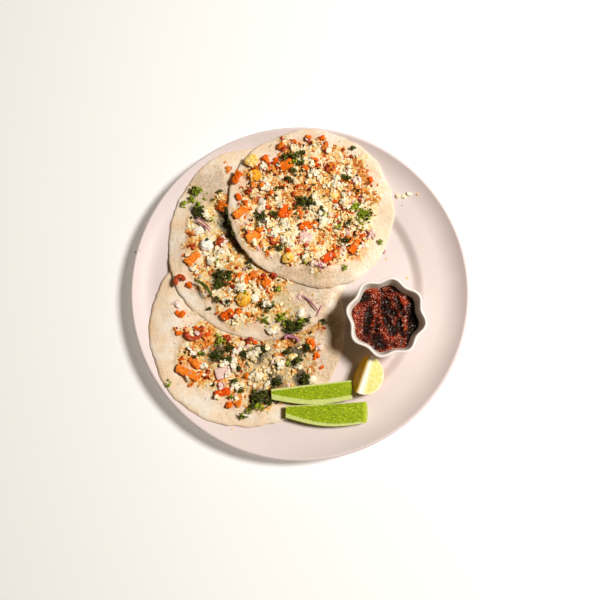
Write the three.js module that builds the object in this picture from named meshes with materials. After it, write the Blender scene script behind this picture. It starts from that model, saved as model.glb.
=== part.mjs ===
// Three uttapams on a dinner plate, with a fluted bowl of red chutney, a lime wedge and two
// sticks of cucumber. Millimetres, +Z up, with the origin under the middle of the plate.
import * as THREE from "three";

// ---- Driving dimensions ----

const GAP = 0.35; // left between pieces that rest on each other

const PLATE = {
  radius: 135,
  segments: 60,
  wellRadius: 91.5,
  wellHeight: 6,
  shoulderWidth: 9,
  shoulderRise: 4.2,
  ledgeWidth: 12,
  ledgeSlope: 0.08,
  brimRise: 8.2,
  thickness: 4.2,
  footInner: 75,
  footOuter: 83,
  footFlare: 2.5,
  lipRadius: 1.6,
};

// waves are the unevenness of an outline: [lobes, share of the radius, turn in degrees]. flat is a
// stretch of the edge that lies further in, and curl one that stands up.
const UTTAPAM = {
  segments: 40,
  rings: [0.2, 0.4, 0.6, 0.77, 0.9, 0.975],
  thickness: 5,
  edgeThickness: 2.4,
  thinning: 5,
  sag: 0.014,
};
const UTTAPAMS = [
  {
    name: "uttapam_bottom",
    centre: [-41.7, -30.5],
    radius: 79.2,
    waves: [[2, 0.008, -95], [5, 0.006, 155], [9, 0.004, 20]],
  },
  {
    name: "uttapam_middle",
    centre: [-31, 38],
    radius: 78.6,
    waves: [[2, 0.024, -82], [4, 0.01, 118], [7, 0.006, 10]],
  },
  {
    name: "uttapam_top",
    centre: [9.4, 65.6],
    radius: 68,
    waves: [[2, 0.014, -38], [3, 0.008, 150], [8, 0.004, 0]],
    flat: { turn: 252, spread: 28, share: 0.07 },
    curl: { turn: 202, spread: 30, from: 0.62, height: 8 },
  },
];

const BOWL = {
  centre: [66.3, -25.8],
  height: 29.6,
  lobes: 8,
  lobeTurn: -11,
  segmentsPerLobe: 6,
  wall: 2.2,
  floor: 3,
  footInner: 13.5,
  footOuter: 16.8,
  footHeight: 1.4,
  bellyRadius: 20.5,
  rimRadius: 30.3,
  lobeDepthAtFoot: 0.35,
  lobeDepthAtRim: 1.7,
  chutneyLevel: 20.6,
  chutneyCrown: 0.8,
};

const LIME = {
  ridgeCentre: [48.6, -68.6],
  turn: 70,
  length: 30.5,
  radius: 20.2,
  litFace: 211,
  shadedFace: 284,
  coreRadius: 1.6,
  sections: 9,
  arcSteps: 6,
};

// Each stick is a lengthwise cut of a peeled cucumber: flat seeded face up, round below.
const CUCUMBER = { sections: 9, depth: 8.6, crown: 0.3, belly: [200, 235, 270, 305, 340] };
const STICKS = [
  {
    name: "cucumber_stick_back",
    centre: [9, -82.3],
    turn: 3.2,
    length: 62.5,
    widthLeft: 7.8,
    widthRight: 14.4,
    bulge: 4.2,
    bow: 2,
    slantLeft: 0.15,
    slantRight: 0.05,
  },
  {
    name: "cucumber_stick_front",
    centre: [20, -97.6],
    turn: -0.3,
    length: 62,
    widthLeft: 8.8,
    widthRight: 16,
    bulge: 4.4,
    bow: 2.4,
    slantLeft: 0.1,
    slantRight: 0.22,
  },
];

// The largest toppings. size is length, width and height; turn is in degrees about +Z.
const TOPPINGS = [
  { name: "paneer_golden_1", kind: "lump", at: [-39.7, 104.4], size: [12.5, 10.5, 5.1], turn: 20 },
  { name: "paneer_golden_2", kind: "lump", at: [-36.2, 91.6], size: [14, 10.5, 5.5], turn: -25 },
  { name: "paneer_golden_3", kind: "lump", at: [-10.3, 23.4], size: [10.5, 9, 5.1], turn: 40 },
  { name: "paneer_yellow", kind: "lump", at: [28.2, 77.8], size: [9, 8.5, 4.2], turn: 10 },
  { name: "paneer_white_1", kind: "lump", at: [-30.1, 66.1], size: [10.5, 7, 4.2], turn: 65 },
  { name: "carrot_1", kind: "dice", at: [-51.7, 91], size: [10, 6, 3.6], turn: 60 },
  { name: "carrot_2", kind: "dice", at: [-47.7, 60.7], size: [13, 6, 3.6], turn: 40 },
  { name: "carrot_3", kind: "dice", at: [-37, 40], size: [13, 8, 4], turn: 35 },
  { name: "carrot_4", kind: "dice", at: [-13.6, 62.8], size: [12, 6, 3.6], turn: 75 },
  { name: "carrot_5", kind: "dice", at: [44.5, 34], size: [13, 6.5, 3.6], turn: 50 },
  { name: "carrot_6", kind: "dice", at: [22.6, 24.6], size: [12, 6.5, 3.6], turn: 35 },
  { name: "carrot_7", kind: "dice", at: [4.6, 50.6], size: [10, 6, 3.6], turn: 15 },
  { name: "carrot_8", kind: "dice", at: [-10.9, 100.5], size: [11, 7, 3.6], turn: 30 },
  { name: "onion_pale_1", kind: "dice", at: [4.4, 41], size: [10, 8, 2.8], turn: -10 },
  { name: "tomato_1", kind: "curl", at: [-20.7, 37.4], size: [9, 8, 3.4], turn: 120, strip: 3 },
  { name: "paneer_white_2", kind: "lump", at: [-81.6, 47.2], size: [11.5, 8.5, 5.1], turn: 30 },
  { name: "paneer_white_3", kind: "lump", at: [-75.4, 35.4], size: [12.5, 11, 6.8], turn: -35 },
  { name: "paneer_white_4", kind: "lump", at: [0.2, -20.6], size: [9.5, 7, 4.2], turn: 80 },
  { name: "paneer_golden_4", kind: "lump", at: [-44.4, -9], size: [14.5, 12, 6], turn: 35 },
  { name: "carrot_9", kind: "dice", at: [-86, 23.8], size: [13, 6.5, 4], turn: 45 },
  { name: "carrot_10", kind: "dice", at: [-63.7, 66.6], size: [10, 7, 3.6], turn: -30 },
  { name: "carrot_11", kind: "dice", at: [-45.2, 8], size: [12, 6.5, 3.6], turn: -20 },
  { name: "carrot_12", kind: "dice", at: [-57.4, -21.7], size: [10, 7, 3.6], turn: 25 },
  { name: "tomato_2", kind: "dice", at: [-64.2, 37], size: [9, 6, 3.4], turn: 70 },
  { name: "tomato_3", kind: "curl", at: [-96, 6.4], size: [10, 9, 3.4], turn: 30, strip: 3 },
  { name: "tomato_4", kind: "curl", at: [-83, -36.4], size: [16, 13, 4], turn: 200, strip: 4 },
  { name: "carrot_13", kind: "dice", at: [-87.4, -67.8], size: [20, 6.5, 4], turn: -28 },
  { name: "carrot_14", kind: "dice", at: [-81.4, -59.2], size: [11.5, 6.5, 3.6], turn: -38 },
  { name: "carrot_15", kind: "dice", at: [-60.3, -82.6], size: [12, 5.5, 3.6], turn: 15 },
  { name: "onion_pale_2", kind: "dice", at: [-60.6, -67.2], size: [12, 9, 2.8], turn: 20 },
  { name: "onion_purple", kind: "curl", at: [-6.3, -40.4], size: [13, 6, 3.4], turn: -15, strip: 2.4 },
  { name: "onion_curl", kind: "curl", at: [-17, -59.6], size: [12, 11.5, 3.4], turn: 0, strip: 2.4 },
  { name: "paneer_golden_5", kind: "lump", at: [-6.4, -55.2], size: [9, 6, 3.4], turn: 25 },
];

const COLOURS = {
  plate: 0xf0e4de,
  uttapam: 0xe9d9bc,
  dip_bowl: 0xf2ebe6,
  chutney: 0x6e1710,
  lime: 0xd9d98a,
  cucumber: 0x9dbb2c,
  paneer_white: 0xf4ecdc,
  paneer_golden: 0xd9a441,
  paneer_yellow: 0xe8b93c,
  carrot: 0xd65a1c,
  tomato: 0x9c2a18,
  onion_pale: 0xe8d2cc,
  onion_purple: 0x7a3350,
  onion_curl: 0xe5dcd8,
};

// ---- Shared helpers ----

const radians = THREE.MathUtils.degToRad;
const mix = THREE.MathUtils.lerp;

function material(colour, roughness) {
  return new THREE.MeshStandardMaterial({ color: colour, roughness, metalness: 0 });
}

function named(name, geometry, colour, roughness) {
  const mesh = new THREE.Mesh(geometry, material(colour, roughness));
  mesh.name = name;
  return mesh;
}

// A closed surface through rings of points that run anticlockwise about the direction in which
// the rings follow each other. Each end closes on the given pole.
function closedSurface(rings, firstPole, lastPole) {
  const around = rings[0].length;
  const points = [firstPole, ...rings.flat(), lastPole];
  const last = points.length - 1;
  const at = (ring, step) => 1 + ring * around + (step % around);
  const faces = [];
  for (let step = 0; step < around; step++) {
    faces.push(0, at(0, step + 1), at(0, step));
    for (let ring = 0; ring < rings.length - 1; ring++) {
      faces.push(at(ring, step), at(ring, step + 1), at(ring + 1, step + 1));
      faces.push(at(ring, step), at(ring + 1, step + 1), at(ring + 1, step));
    }
    faces.push(at(rings.length - 1, step), at(rings.length - 1, step + 1), last);
  }
  const geometry = new THREE.BufferGeometry().setFromPoints(points);
  geometry.setIndex(faces);
  geometry.computeVertexNormals();
  return geometry;
}

function middleOf(ring) {
  const sum = new THREE.Vector3();
  ring.forEach((point) => sum.add(point));
  return sum.divideScalar(ring.length);
}

// A solid through cross-sections, closed at its first and last one.
function loft(sections) {
  return closedSurface(sections, middleOf(sections[0]), middleOf(sections.at(-1)));
}

// A repeatable stream of numbers from -1 to 1.
function unevenness(seed) {
  let state = seed;
  return () => {
    state = (state * 16807) % 2147483647;
    return (state / 2147483647) * 2 - 1;
  };
}

// Height of the highest upward face of the meshes at a point in plan.
const UP = new THREE.Vector3(0, 0, 1);
const DOWN = new THREE.Vector3(0, 0, -1);
const HIGH_ABOVE = 200;
function topOf(meshes, x, y) {
  const ray = new THREE.Raycaster(new THREE.Vector3(x, y, HIGH_ABOVE), DOWN);
  const hits = ray.intersectObjects(meshes, false);
  return hits.length ? HIGH_ABOVE - hits[0].distance : -Infinity;
}

// Lowers or lifts a mesh so that it rests on the supports, the gap above them.
function settle(mesh, supports) {
  mesh.updateMatrixWorld(true);
  const flat = mesh.geometry.index ? mesh.geometry.toNonIndexed() : mesh.geometry;
  const place = flat.getAttribute("position");
  let lift = -Infinity;
  for (let face = 0; face < place.count; face += 3) {
    const corners = [0, 1, 2].map((corner) =>
      new THREE.Vector3().fromBufferAttribute(place, face + corner).applyMatrix4(mesh.matrixWorld),
    );
    for (const point of [...corners, middleOf(corners)])
      lift = Math.max(lift, topOf(supports, point.x, point.y) + GAP - point.z);
  }
  mesh.position.z += lift;
  mesh.updateMatrixWorld(true);
}

// ---- Plate ----

const shoulderEnd = PLATE.wellRadius + PLATE.shoulderWidth;
const brimStart = shoulderEnd + PLATE.ledgeWidth;
const brimSlopeEnd = PLATE.ledgeSlope + (2 * PLATE.brimRise) / (PLATE.radius - brimStart);
const lipTilt = Math.atan(brimSlopeEnd);
const brimEnd = PLATE.radius - PLATE.lipRadius * (1 + Math.sin(lipTilt));

function plateTop(radius) {
  const shoulder = THREE.MathUtils.smoothstep(radius, PLATE.wellRadius, shoulderEnd);
  const ledge = Math.max(0, radius - shoulderEnd) * PLATE.ledgeSlope;
  const brim = Math.max(0, radius - brimStart) / (PLATE.radius - brimStart);
  return PLATE.wellHeight + PLATE.shoulderRise * shoulder + ledge + PLATE.brimRise * brim ** 2;
}

// The rounded lip, from its underside over the edge to its top.
function plateLip() {
  const steps = 4;
  const centreR = brimEnd + PLATE.lipRadius * Math.sin(lipTilt);
  const centreZ = plateTop(brimEnd) - PLATE.lipRadius * Math.cos(lipTilt);
  const points = [];
  for (let step = 0; step <= steps; step++) {
    const turn = lipTilt - Math.PI / 2 + (Math.PI * step) / steps;
    points.push([
      centreR + PLATE.lipRadius * Math.cos(turn),
      centreZ + PLATE.lipRadius * Math.sin(turn),
    ]);
  }
  return points;
}

function makePlate() {
  const shoulderSteps = 3;
  const brimSteps = 3;
  const shoulder = [];
  for (let step = 0; step <= shoulderSteps; step++)
    shoulder.push(mix(PLATE.wellRadius, shoulderEnd, step / shoulderSteps));
  const brim = [];
  for (let step = 0; step < brimSteps; step++)
    brim.push(mix(brimStart, brimEnd, step / brimSteps));
  const top = (radius) => [radius, plateTop(radius)];
  const underside = (radius) => [radius, plateTop(radius) - PLATE.thickness];
  const recess = PLATE.wellHeight - PLATE.thickness;
  const profile = [
    [0, recess],
    [PLATE.footInner - PLATE.footFlare, recess],
    [PLATE.footInner, 0],
    [PLATE.footOuter, 0],
    [PLATE.footOuter + PLATE.footFlare, recess],
    ...[shoulderEnd, ...brim].map(underside),
    ...plateLip(),
    ...[...shoulder, ...brim].map(top).reverse(),
    [0, PLATE.wellHeight],
  ];
  const outline = profile.map(([radius, height]) => new THREE.Vector2(radius, height));
  const geometry = new THREE.LatheGeometry(outline, PLATE.segments).rotateX(Math.PI / 2);
  return named("plate", geometry, COLOURS.plate, 0.18);
}

// ---- Uttapams ----

// 1 in the middle of a stretch of a disc's edge, falling to 0 on either side of it.
function stretchShare(stretch, turn) {
  const off = Math.acos(Math.cos(turn - radians(stretch.turn)));
  return Math.exp(-((off / radians(stretch.spread)) ** 2));
}

function outlineRadius(disc, turn) {
  const swell = disc.waves.reduce(
    (sum, [lobes, share, at]) => sum + share * Math.cos(lobes * (turn - radians(at))),
    0,
  );
  const flattened = disc.flat ? disc.flat.share * stretchShare(disc.flat, turn) : 0;
  return disc.radius * (1 + swell - flattened);
}

function discPoint(disc, share, turn) {
  const reach = share * outlineRadius(disc, turn);
  return [disc.centre[0] + reach * Math.cos(turn), disc.centre[1] + reach * Math.sin(turn)];
}

// How far an edge that has curled up stands off what is under it.
function curlLift(disc, share, turn) {
  if (!disc.curl) return 0;
  const rise = THREE.MathUtils.smoothstep(share, disc.curl.from, 1);
  return disc.curl.height * stretchShare(disc.curl, turn) * rise;
}

// Plan position, height and neighbours of each point of a disc's underside.
function undersideGrid(disc) {
  const { segments, rings } = UTTAPAM;
  const grid = [{ share: 0, turn: 0, at: discPoint(disc, 0, 0) }];
  for (const share of rings)
    for (let step = 0; step < segments; step++) {
      const turn = (2 * Math.PI * step) / segments;
      grid.push({ share, turn, at: discPoint(disc, share, turn) });
    }
  const index = (ring, step) =>
    ring < 0 ? 0 : 1 + ring * segments + ((step + segments) % segments);
  const faces = [];
  for (let step = 0; step < segments; step++) {
    faces.push([0, index(0, step), index(0, step + 1)]);
    for (let ring = 0; ring < rings.length - 1; ring++) {
      faces.push([index(ring, step), index(ring, step + 1), index(ring + 1, step + 1)]);
      faces.push([index(ring, step), index(ring + 1, step + 1), index(ring + 1, step)]);
    }
  }
  const distance = (a, b) => Math.hypot(a.at[0] - b.at[0], a.at[1] - b.at[1]);
  const pull = (from, to) => ({ to, weight: distance(grid[from], grid[to]) ** -2 });
  grid[0].pulls = Array.from({ length: segments }, (_, step) => pull(0, index(0, step)));
  for (let ring = 0; ring < rings.length; ring++)
    for (let step = 0; step < segments; step++) {
      const here = index(ring, step);
      const around = [index(ring, step - 1), index(ring, step + 1), index(ring - 1, step)];
      if (ring < rings.length - 1) around.push(index(ring + 1, step));
      grid[here].pulls = around.map((to) => pull(here, to));
    }
  return { grid, faces };
}

// Places where a disc's underside may touch down: the height there, and the grid points that
// carry it with their weights.
function touchPoints(disc, grid, faces, supports) {
  const cuts = 3;
  const touches = [];
  for (const face of faces)
    for (let a = 0; a <= cuts; a++)
      for (let b = 0; b <= cuts - a; b++) {
        const weights = [a / cuts, b / cuts, (cuts - a - b) / cuts];
        const blend = (value) =>
          face.reduce((sum, point, corner) => sum + weights[corner] * value(grid[point]), 0);
        const x = blend((point) => point.at[0]);
        const y = blend((point) => point.at[1]);
        const lift = blend((point) => curlLift(disc, point.share, point.turn));
        touches.push({ face, weights, height: topOf(supports, x, y) + GAP + lift });
      }
  return touches;
}

function liftClear(heights, touches) {
  for (const { face, weights, height } of touches) {
    const here = face.reduce((sum, point, corner) => sum + weights[corner] * heights[point], 0);
    if (here >= height) continue;
    const share = weights.reduce((sum, weight) => sum + weight ** 2, 0);
    face.forEach((point, corner) => {
      heights[point] += ((height - here) * weights[corner]) / share;
    });
  }
}

// Lets a soft disc sink under its own weight until it lies on its supports.
function drape(disc, supports) {
  const rounds = 900;
  const lastLifts = 40;
  const { grid, faces } = undersideGrid(disc);
  const touches = touchPoints(disc, grid, faces, supports);
  const start = Math.max(...touches.map((touch) => touch.height));
  const heights = grid.map(() => start);
  for (let round = 0; round < rounds; round++) {
    grid.forEach(({ pulls }, point) => {
      const weight = pulls.reduce((sum, pull) => sum + pull.weight, 0);
      const pulled = pulls.reduce((sum, pull) => sum + pull.weight * heights[pull.to], 0);
      heights[point] = (pulled - UTTAPAM.sag) / weight;
    });
    liftClear(heights, touches);
  }
  for (let round = 0; round < lastLifts; round++) liftClear(heights, touches);
  return heights;
}

function makeUttapam(disc, supports) {
  const { segments, rings, thickness, edgeThickness, thinning } = UTTAPAM;
  const heights = drape(disc, supports);
  const thick = (share) => mix(thickness, edgeThickness, share ** thinning);
  const ringAt = (ring, share, rise) =>
    Array.from({ length: segments }, (_, step) => {
      const [x, y] = discPoint(disc, share, (2 * Math.PI * step) / segments);
      return new THREE.Vector3(x, y, heights[1 + ring * segments + step] + rise);
    });
  const last = rings.length - 1;
  const below = rings.map((share, ring) => ringAt(ring, share, 0));
  const edge = ringAt(last, 1, edgeThickness / 2);
  const above = rings.map((share, ring) => ringAt(ring, share, thick(share))).reverse();
  const [x, y] = disc.centre;
  const geometry = closedSurface(
    [...below, edge, ...above],
    new THREE.Vector3(x, y, heights[0]),
    new THREE.Vector3(x, y, heights[0] + thickness),
  );
  return named(disc.name, geometry, COLOURS.uttapam, 0.75);
}

// ---- Dip bowl and chutney ----

// Outer wall of the bowl at a share of its height: radius and depth of the lobes.
function bowlWall(share) {
  return {
    radius: mix(BOWL.bellyRadius, BOWL.rimRadius, share ** 0.8),
    depth: mix(BOWL.lobeDepthAtFoot, BOWL.lobeDepthAtRim, share),
  };
}

function lobedRing(radius, depth, height) {
  const segments = BOWL.lobes * BOWL.segmentsPerLobe;
  return Array.from({ length: segments }, (_, step) => {
    const turn = (2 * Math.PI * step) / segments + radians(BOWL.lobeTurn);
    const reach = radius + depth * Math.cos(BOWL.lobes * (turn - radians(BOWL.lobeTurn)));
    return new THREE.Vector3(reach * Math.cos(turn), reach * Math.sin(turn), height);
  });
}

function wallRing(share, inset) {
  const { radius, depth } = bowlWall(share);
  const height = mix(BOWL.footHeight, BOWL.height, share);
  return lobedRing(radius - inset, depth, height);
}

function makeBowl(base) {
  const outerShares = [0.06, 0.4, 0.95];
  const innerShares = [0.95, 0.62, 0.3, 0.12];
  const rings = [
    lobedRing(BOWL.footInner, 0, BOWL.footHeight),
    lobedRing(BOWL.footInner, 0, 0),
    lobedRing(BOWL.footOuter, 0, 0),
    ...outerShares.map((share) => wallRing(share, 0)),
    wallRing(1, BOWL.wall * 0.5),
    ...innerShares.map((share) => wallRing(share, BOWL.wall)),
    lobedRing(BOWL.footOuter - BOWL.wall, 0, BOWL.floor),
  ];
  const geometry = closedSurface(
    rings,
    new THREE.Vector3(0, 0, BOWL.footHeight),
    new THREE.Vector3(0, 0, BOWL.floor),
  );
  const bowl = named("dip_bowl", geometry, COLOURS.dip_bowl, 0.15);
  bowl.position.set(...BOWL.centre, base);
  return bowl;
}

function makeChutney(base) {
  const levelShare = (BOWL.chutneyLevel - BOWL.footHeight) / (BOWL.height - BOWL.footHeight);
  const inset = BOWL.wall + GAP;
  const rings = [
    lobedRing(BOWL.footOuter - inset, 0, BOWL.floor + GAP),
    wallRing(0.16, inset + GAP),
    wallRing(levelShare, inset),
    lobedRing(bowlWall(levelShare).radius * 0.6, 0, BOWL.chutneyLevel + BOWL.chutneyCrown),
  ];
  const geometry = closedSurface(
    rings,
    new THREE.Vector3(0, 0, BOWL.floor + GAP),
    new THREE.Vector3(0, 0, BOWL.chutneyLevel + BOWL.chutneyCrown),
  );
  const chutney = named("chutney", geometry, COLOURS.chutney, 0.3);
  chutney.position.set(...BOWL.centre, base);
  return chutney;
}

// ---- Lime wedge ----

// A wedge between two cut faces that meet in the core ridge on top; the rind is below.
function makeLime(supports) {
  const { length, radius, coreRadius, sections, arcSteps } = LIME;
  const polar = (x, reach, turn) =>
    new THREE.Vector3(x, reach * Math.cos(radians(turn)), reach * Math.sin(radians(turn)));
  const slices = [];
  for (let section = 0; section < sections; section++) {
    const along = Math.sin((Math.PI / 2) * (-1 + (2 * section) / (sections - 1)));
    const reach = mix(coreRadius * 1.2, radius, Math.sqrt(1 - along ** 2));
    const x = (along * length) / 2;
    const slice = [polar(x, coreRadius, LIME.shadedFace), polar(x, coreRadius, LIME.litFace)];
    for (let step = 0; step <= arcSteps; step++)
      slice.push(polar(x, reach, mix(LIME.litFace, LIME.shadedFace, step / arcSteps)));
    slices.push(slice);
  }
  const lime = named("lime_wedge", loft(slices), COLOURS.lime, 0.5);
  lime.position.set(...LIME.ridgeCentre, 0);
  lime.rotation.z = radians(LIME.turn);
  settle(lime, supports);
  return lime;
}

// ---- Cucumber sticks ----

function stickSection(stick, share) {
  const { depth, crown, belly } = CUCUMBER;
  const arch = Math.sin(Math.PI * share);
  const width = mix(stick.widthLeft, stick.widthRight, share) + stick.bulge * arch;
  const sway = -stick.bow * arch;
  const slant = mix(-stick.slantLeft, stick.slantRight, share);
  const outline = [[width / 2, 0], [0, crown], [-width / 2, 0]];
  const deep = mix(stick.widthLeft / stick.widthRight, 1, Math.min(1, 2 * share)) * depth;
  for (const turn of belly)
    outline.push([(width / 2) * Math.cos(radians(turn)), deep * Math.sin(radians(turn))]);
  const x = stick.length * (share - 0.5);
  return outline.map(([y, z]) => new THREE.Vector3(x - slant * z, y + sway, z));
}

// Tilts a stick lengthwise to where its middle comes to lie lowest, as it would roll to rest.
function restTilted(mesh, supports, turn) {
  const steepest = 14;
  let best = { height: Infinity };
  for (let tilt = -steepest; tilt <= steepest; tilt++) {
    mesh.rotation.set(0, radians(tilt), radians(turn), "ZYX");
    mesh.position.z = 0;
    settle(mesh, supports);
    if (mesh.position.z < best.height) best = { height: mesh.position.z, tilt };
  }
  mesh.rotation.set(0, radians(best.tilt), radians(turn), "ZYX");
  mesh.position.z = best.height;
  mesh.updateMatrixWorld(true);
}

function makeStick(stick, supports) {
  const sections = Array.from({ length: CUCUMBER.sections }, (_, section) =>
    stickSection(stick, section / (CUCUMBER.sections - 1)),
  );
  const mesh = named(stick.name, loft(sections), COLOURS.cucumber, 0.4);
  mesh.position.set(...stick.centre, 0);
  restTilted(mesh, supports, stick.turn);
  return mesh;
}

// ---- Toppings ----

// A crumbled lump of paneer, flatter below.
function lumpGeometry([length, width, height], next) {
  const lump = new THREE.IcosahedronGeometry(0.5, 1);
  const place = lump.getAttribute("position");
  const moved = new Map();
  const roughness = 0.13;
  for (let point = 0; point < place.count; point++) {
    const at = new THREE.Vector3().fromBufferAttribute(place, point);
    const key = at.toArray().map((value) => value.toFixed(4)).join();
    if (!moved.has(key)) moved.set(key, 1 + roughness * next());
    at.multiplyScalar(moved.get(key));
    at.z = Math.max(at.z, -0.3);
    place.setXYZ(point, at.x * length, at.y * width, at.z * height);
  }
  return lump;
}

// A knife-cut piece with uneven corners.
function diceGeometry([length, width, height], next) {
  const taper = 0.12;
  const sections = [-0.5, -0.38, 0, 0.38, 0.5].map((along) => {
    const ends = 1 - 1.6 * Math.max(0, Math.abs(along) - 0.38);
    const corner = (y, z) =>
      new THREE.Vector3(
        length * along + taper * height * next(),
        width * y * ends * (1 + taper * next()),
        height * z * ends * (1 + taper * next()),
      );
    return [
      corner(0.5, -0.4),
      corner(0.5, 0.35),
      corner(0.34, 0.5),
      corner(-0.34, 0.5),
      corner(-0.5, 0.35),
      corner(-0.5, -0.4),
      corner(0, -0.5),
    ];
  });
  return loft(sections);
}

// A strip that bends round in plan, as a ring of onion or a fried piece of tomato does.
function curlGeometry([length, width, height], next, strip) {
  const steps = 8;
  const sweep = radians(250);
  const ragged = 0.1;
  const sections = Array.from({ length: steps + 1 }, (_, step) => {
    const turn = sweep * (step / steps - 0.5) + Math.PI / 2;
    const point = (inset, rise) =>
      new THREE.Vector3(
        (length / 2 - inset) * Math.cos(turn),
        (width / 2 - inset) * Math.sin(turn),
        rise * height * (1 + ragged * next()),
      );
    return [point(strip, -0.45), point(strip, 0.4), point(0, 0.5), point(0, -0.5)];
  });
  return loft(sections);
}

const SHAPES = { lump: lumpGeometry, dice: diceGeometry, curl: curlGeometry };

function makeTopping(topping, order, discs) {
  const next = unevenness(order * 7919 + 11);
  const geometry = SHAPES[topping.kind](topping.size, next, topping.strip);
  const colour = Object.keys(COLOURS).find((name) => topping.name.startsWith(name));
  const mesh = named(topping.name, geometry, COLOURS[colour], 0.6);
  const [x, y] = topping.at;
  const reach = topping.size[0] / 2;
  const slopeX = (topOf(discs, x + reach, y) - topOf(discs, x - reach, y)) / (2 * reach);
  const slopeY = (topOf(discs, x, y + reach) - topOf(discs, x, y - reach)) / (2 * reach);
  const normal = new THREE.Vector3(-slopeX, -slopeY, 1).normalize();
  const turned = new THREE.Quaternion().setFromAxisAngle(UP, radians(topping.turn));
  mesh.quaternion.setFromUnitVectors(UP, normal).multiply(turned);
  mesh.position.set(x, y, 0);
  settle(mesh, discs);
  return mesh;
}

// ---- The whole plate ----

const plate = makePlate();
const discs = [];
for (const disc of UTTAPAMS) discs.push(makeUttapam(disc, [plate, ...discs]));
const laid = [plate, ...discs];
const bowlBase = PLATE.wellHeight + GAP;

const group = new THREE.Group();
group.add(...laid);
group.add(makeBowl(bowlBase), makeChutney(bowlBase));
group.add(makeLime(laid));
group.add(...STICKS.map((stick) => makeStick(stick, laid)));
group.add(...TOPPINGS.map((topping, order) => makeTopping(topping, order + 1, discs)));

export default group;
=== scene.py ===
"""Dresses a plate of three uttapams with a bowl of chutney, a lime wedge and cucumber sticks.

Sizes are in millimetres until a piece is made; the row's frame is +Z up, origin under the plate.
"""
import math

import bmesh
import bpy
import numpy as np
from mathutils import Matrix, Vector
from mathutils.bvhtree import BVHTree


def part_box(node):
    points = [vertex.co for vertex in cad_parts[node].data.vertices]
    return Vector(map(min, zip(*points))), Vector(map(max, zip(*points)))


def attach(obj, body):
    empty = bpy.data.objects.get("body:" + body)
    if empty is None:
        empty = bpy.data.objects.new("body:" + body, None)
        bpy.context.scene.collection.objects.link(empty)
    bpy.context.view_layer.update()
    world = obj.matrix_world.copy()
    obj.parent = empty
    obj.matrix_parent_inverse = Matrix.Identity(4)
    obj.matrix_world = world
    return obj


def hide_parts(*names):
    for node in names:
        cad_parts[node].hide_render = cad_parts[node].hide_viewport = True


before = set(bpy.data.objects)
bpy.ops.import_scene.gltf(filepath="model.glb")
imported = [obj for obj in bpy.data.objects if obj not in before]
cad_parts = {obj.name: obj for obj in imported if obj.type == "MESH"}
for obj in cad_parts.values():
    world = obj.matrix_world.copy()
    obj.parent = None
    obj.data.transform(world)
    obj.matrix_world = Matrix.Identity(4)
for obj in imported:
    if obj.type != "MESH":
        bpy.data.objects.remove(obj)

MM = 0.001
UP = Vector((0, 0, 1))
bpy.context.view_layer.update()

# ---- Driving sizes, as in the solids ----

PLATE_RADIUS = 135.0
WELL_RADIUS, WELL_HEIGHT = 91.5, 6.0
SHOULDER_WIDTH, SHOULDER_RISE = 9.0, 4.2
LEDGE_WIDTH, LEDGE_SLOPE = 12.0, 0.08
BRIM_RISE, BRIM_CURVE = 8.2, 2.5
PLATE_THICKNESS, LIP_RADIUS = 4.2, 1.6
FOOT_INNER, FOOT_OUTER, FOOT_FLARE = 75.0, 83.0, 2.5
PLATE_SEGMENTS = 180
PLATE_COLOUR = (0.82, 0.712, 0.695)

# The uttapams. waves are those of the outline: lobes, share of the radius, turn in degrees. flat is a
# stretch of the edge that lies further in: turn and spread in degrees, share of the radius.
# topped is the middle and radius of the part that carries toppings. The other places are patches (x, y,
# reach): bare ones without toppings, pale ones that are hardly browned, dull ones of thin, greyer batter
# that also carry painted shade where a margin slopes away from the lamp or lies in the bowl's shadow, and
# stained ones, dark with herbs and, under the top disc's lifted edge, a painted shadow. toast is how brown
# the batter between the toppings is, and tan how brown the bare margin is.
DISCS = {
    "uttapam_bottom": dict(
        centre=(-41.7, -30.5), radius=79.2, waves=((2, 0.008, -95), (5, 0.006, 155), (9, 0.004, 20)),
        topped=(-40.0, -40.0, 60.0), bare=((-98, -14, 22), (-74, -94, 20), (26, -66, 22), (24, -44, 14)),
        pale=((-26, -64, 24), (-70, -85, 14)),
        dull=((12, -56, 30), (20, -34, 20), (-6, -72, 22), (-30, -62, 34), (-64, -56, 16)),
        stained=((-66, -53, 9), (-32, -87, 10), (-6, -54, 11), (-20, -75, 10), (2, -72, 9), (-34, -52, 9)),
        toast=0.85, tan=0.6,
    ),
    "uttapam_middle": dict(
        centre=(-31.0, 38.0), radius=78.6, waves=((2, 0.024, -82), (4, 0.01, 118), (7, 0.006, 10)),
        topped=(-33.0, 30.0, 63.0),
        bare=((-70, 92, 20), (-92, 72, 12), (16, -12, 22), (0, -5, 14)),
        pale=((4, -18, 26), (-20, -32, 16), (-84, 66, 22), (-72, 55, 14)),
        dull=((4, -12, 30), (-16, -34, 20), (-74, 84, 20)),
        # The first four stained patches lie under the top disc's lifted edge: painted shadow.
        stained=((-59, 63, 10), (-57, 54, 12), (-54, 45, 12), (-48, 36, 10), (-64, 8, 9), (-7, -30, 10),
                 (-83, 63, 8)),
        toast=0.85, tan=0.5,
    ),
    "uttapam_top": dict(
        centre=(9.4, 65.6), radius=68.0, waves=((2, 0.014, -38), (3, 0.008, 150), (8, 0.004, 0)),
        flat=(252, 28, 0.07), topped=(6.4, 70.5, 58.0), bare=((-26, 112, 14), (30, 14, 8)),
        pale=((14, 68, 16), (-8, 46, 14), (14, 22, 14), (10, 92, 8), (62, 58, 12)),
        dull=((-14, 10, 18), (8, 4, 20), (32, 6, 18)),
        stained=((5, 70, 7), (-30, 57, 6), (-8, 107, 7)), toast=0.95, tan=0.2,
    ),
}
DISC_THICKNESS, DISC_EDGE, DISC_THINNING = 5.0, 1.5, 4.5
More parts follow.
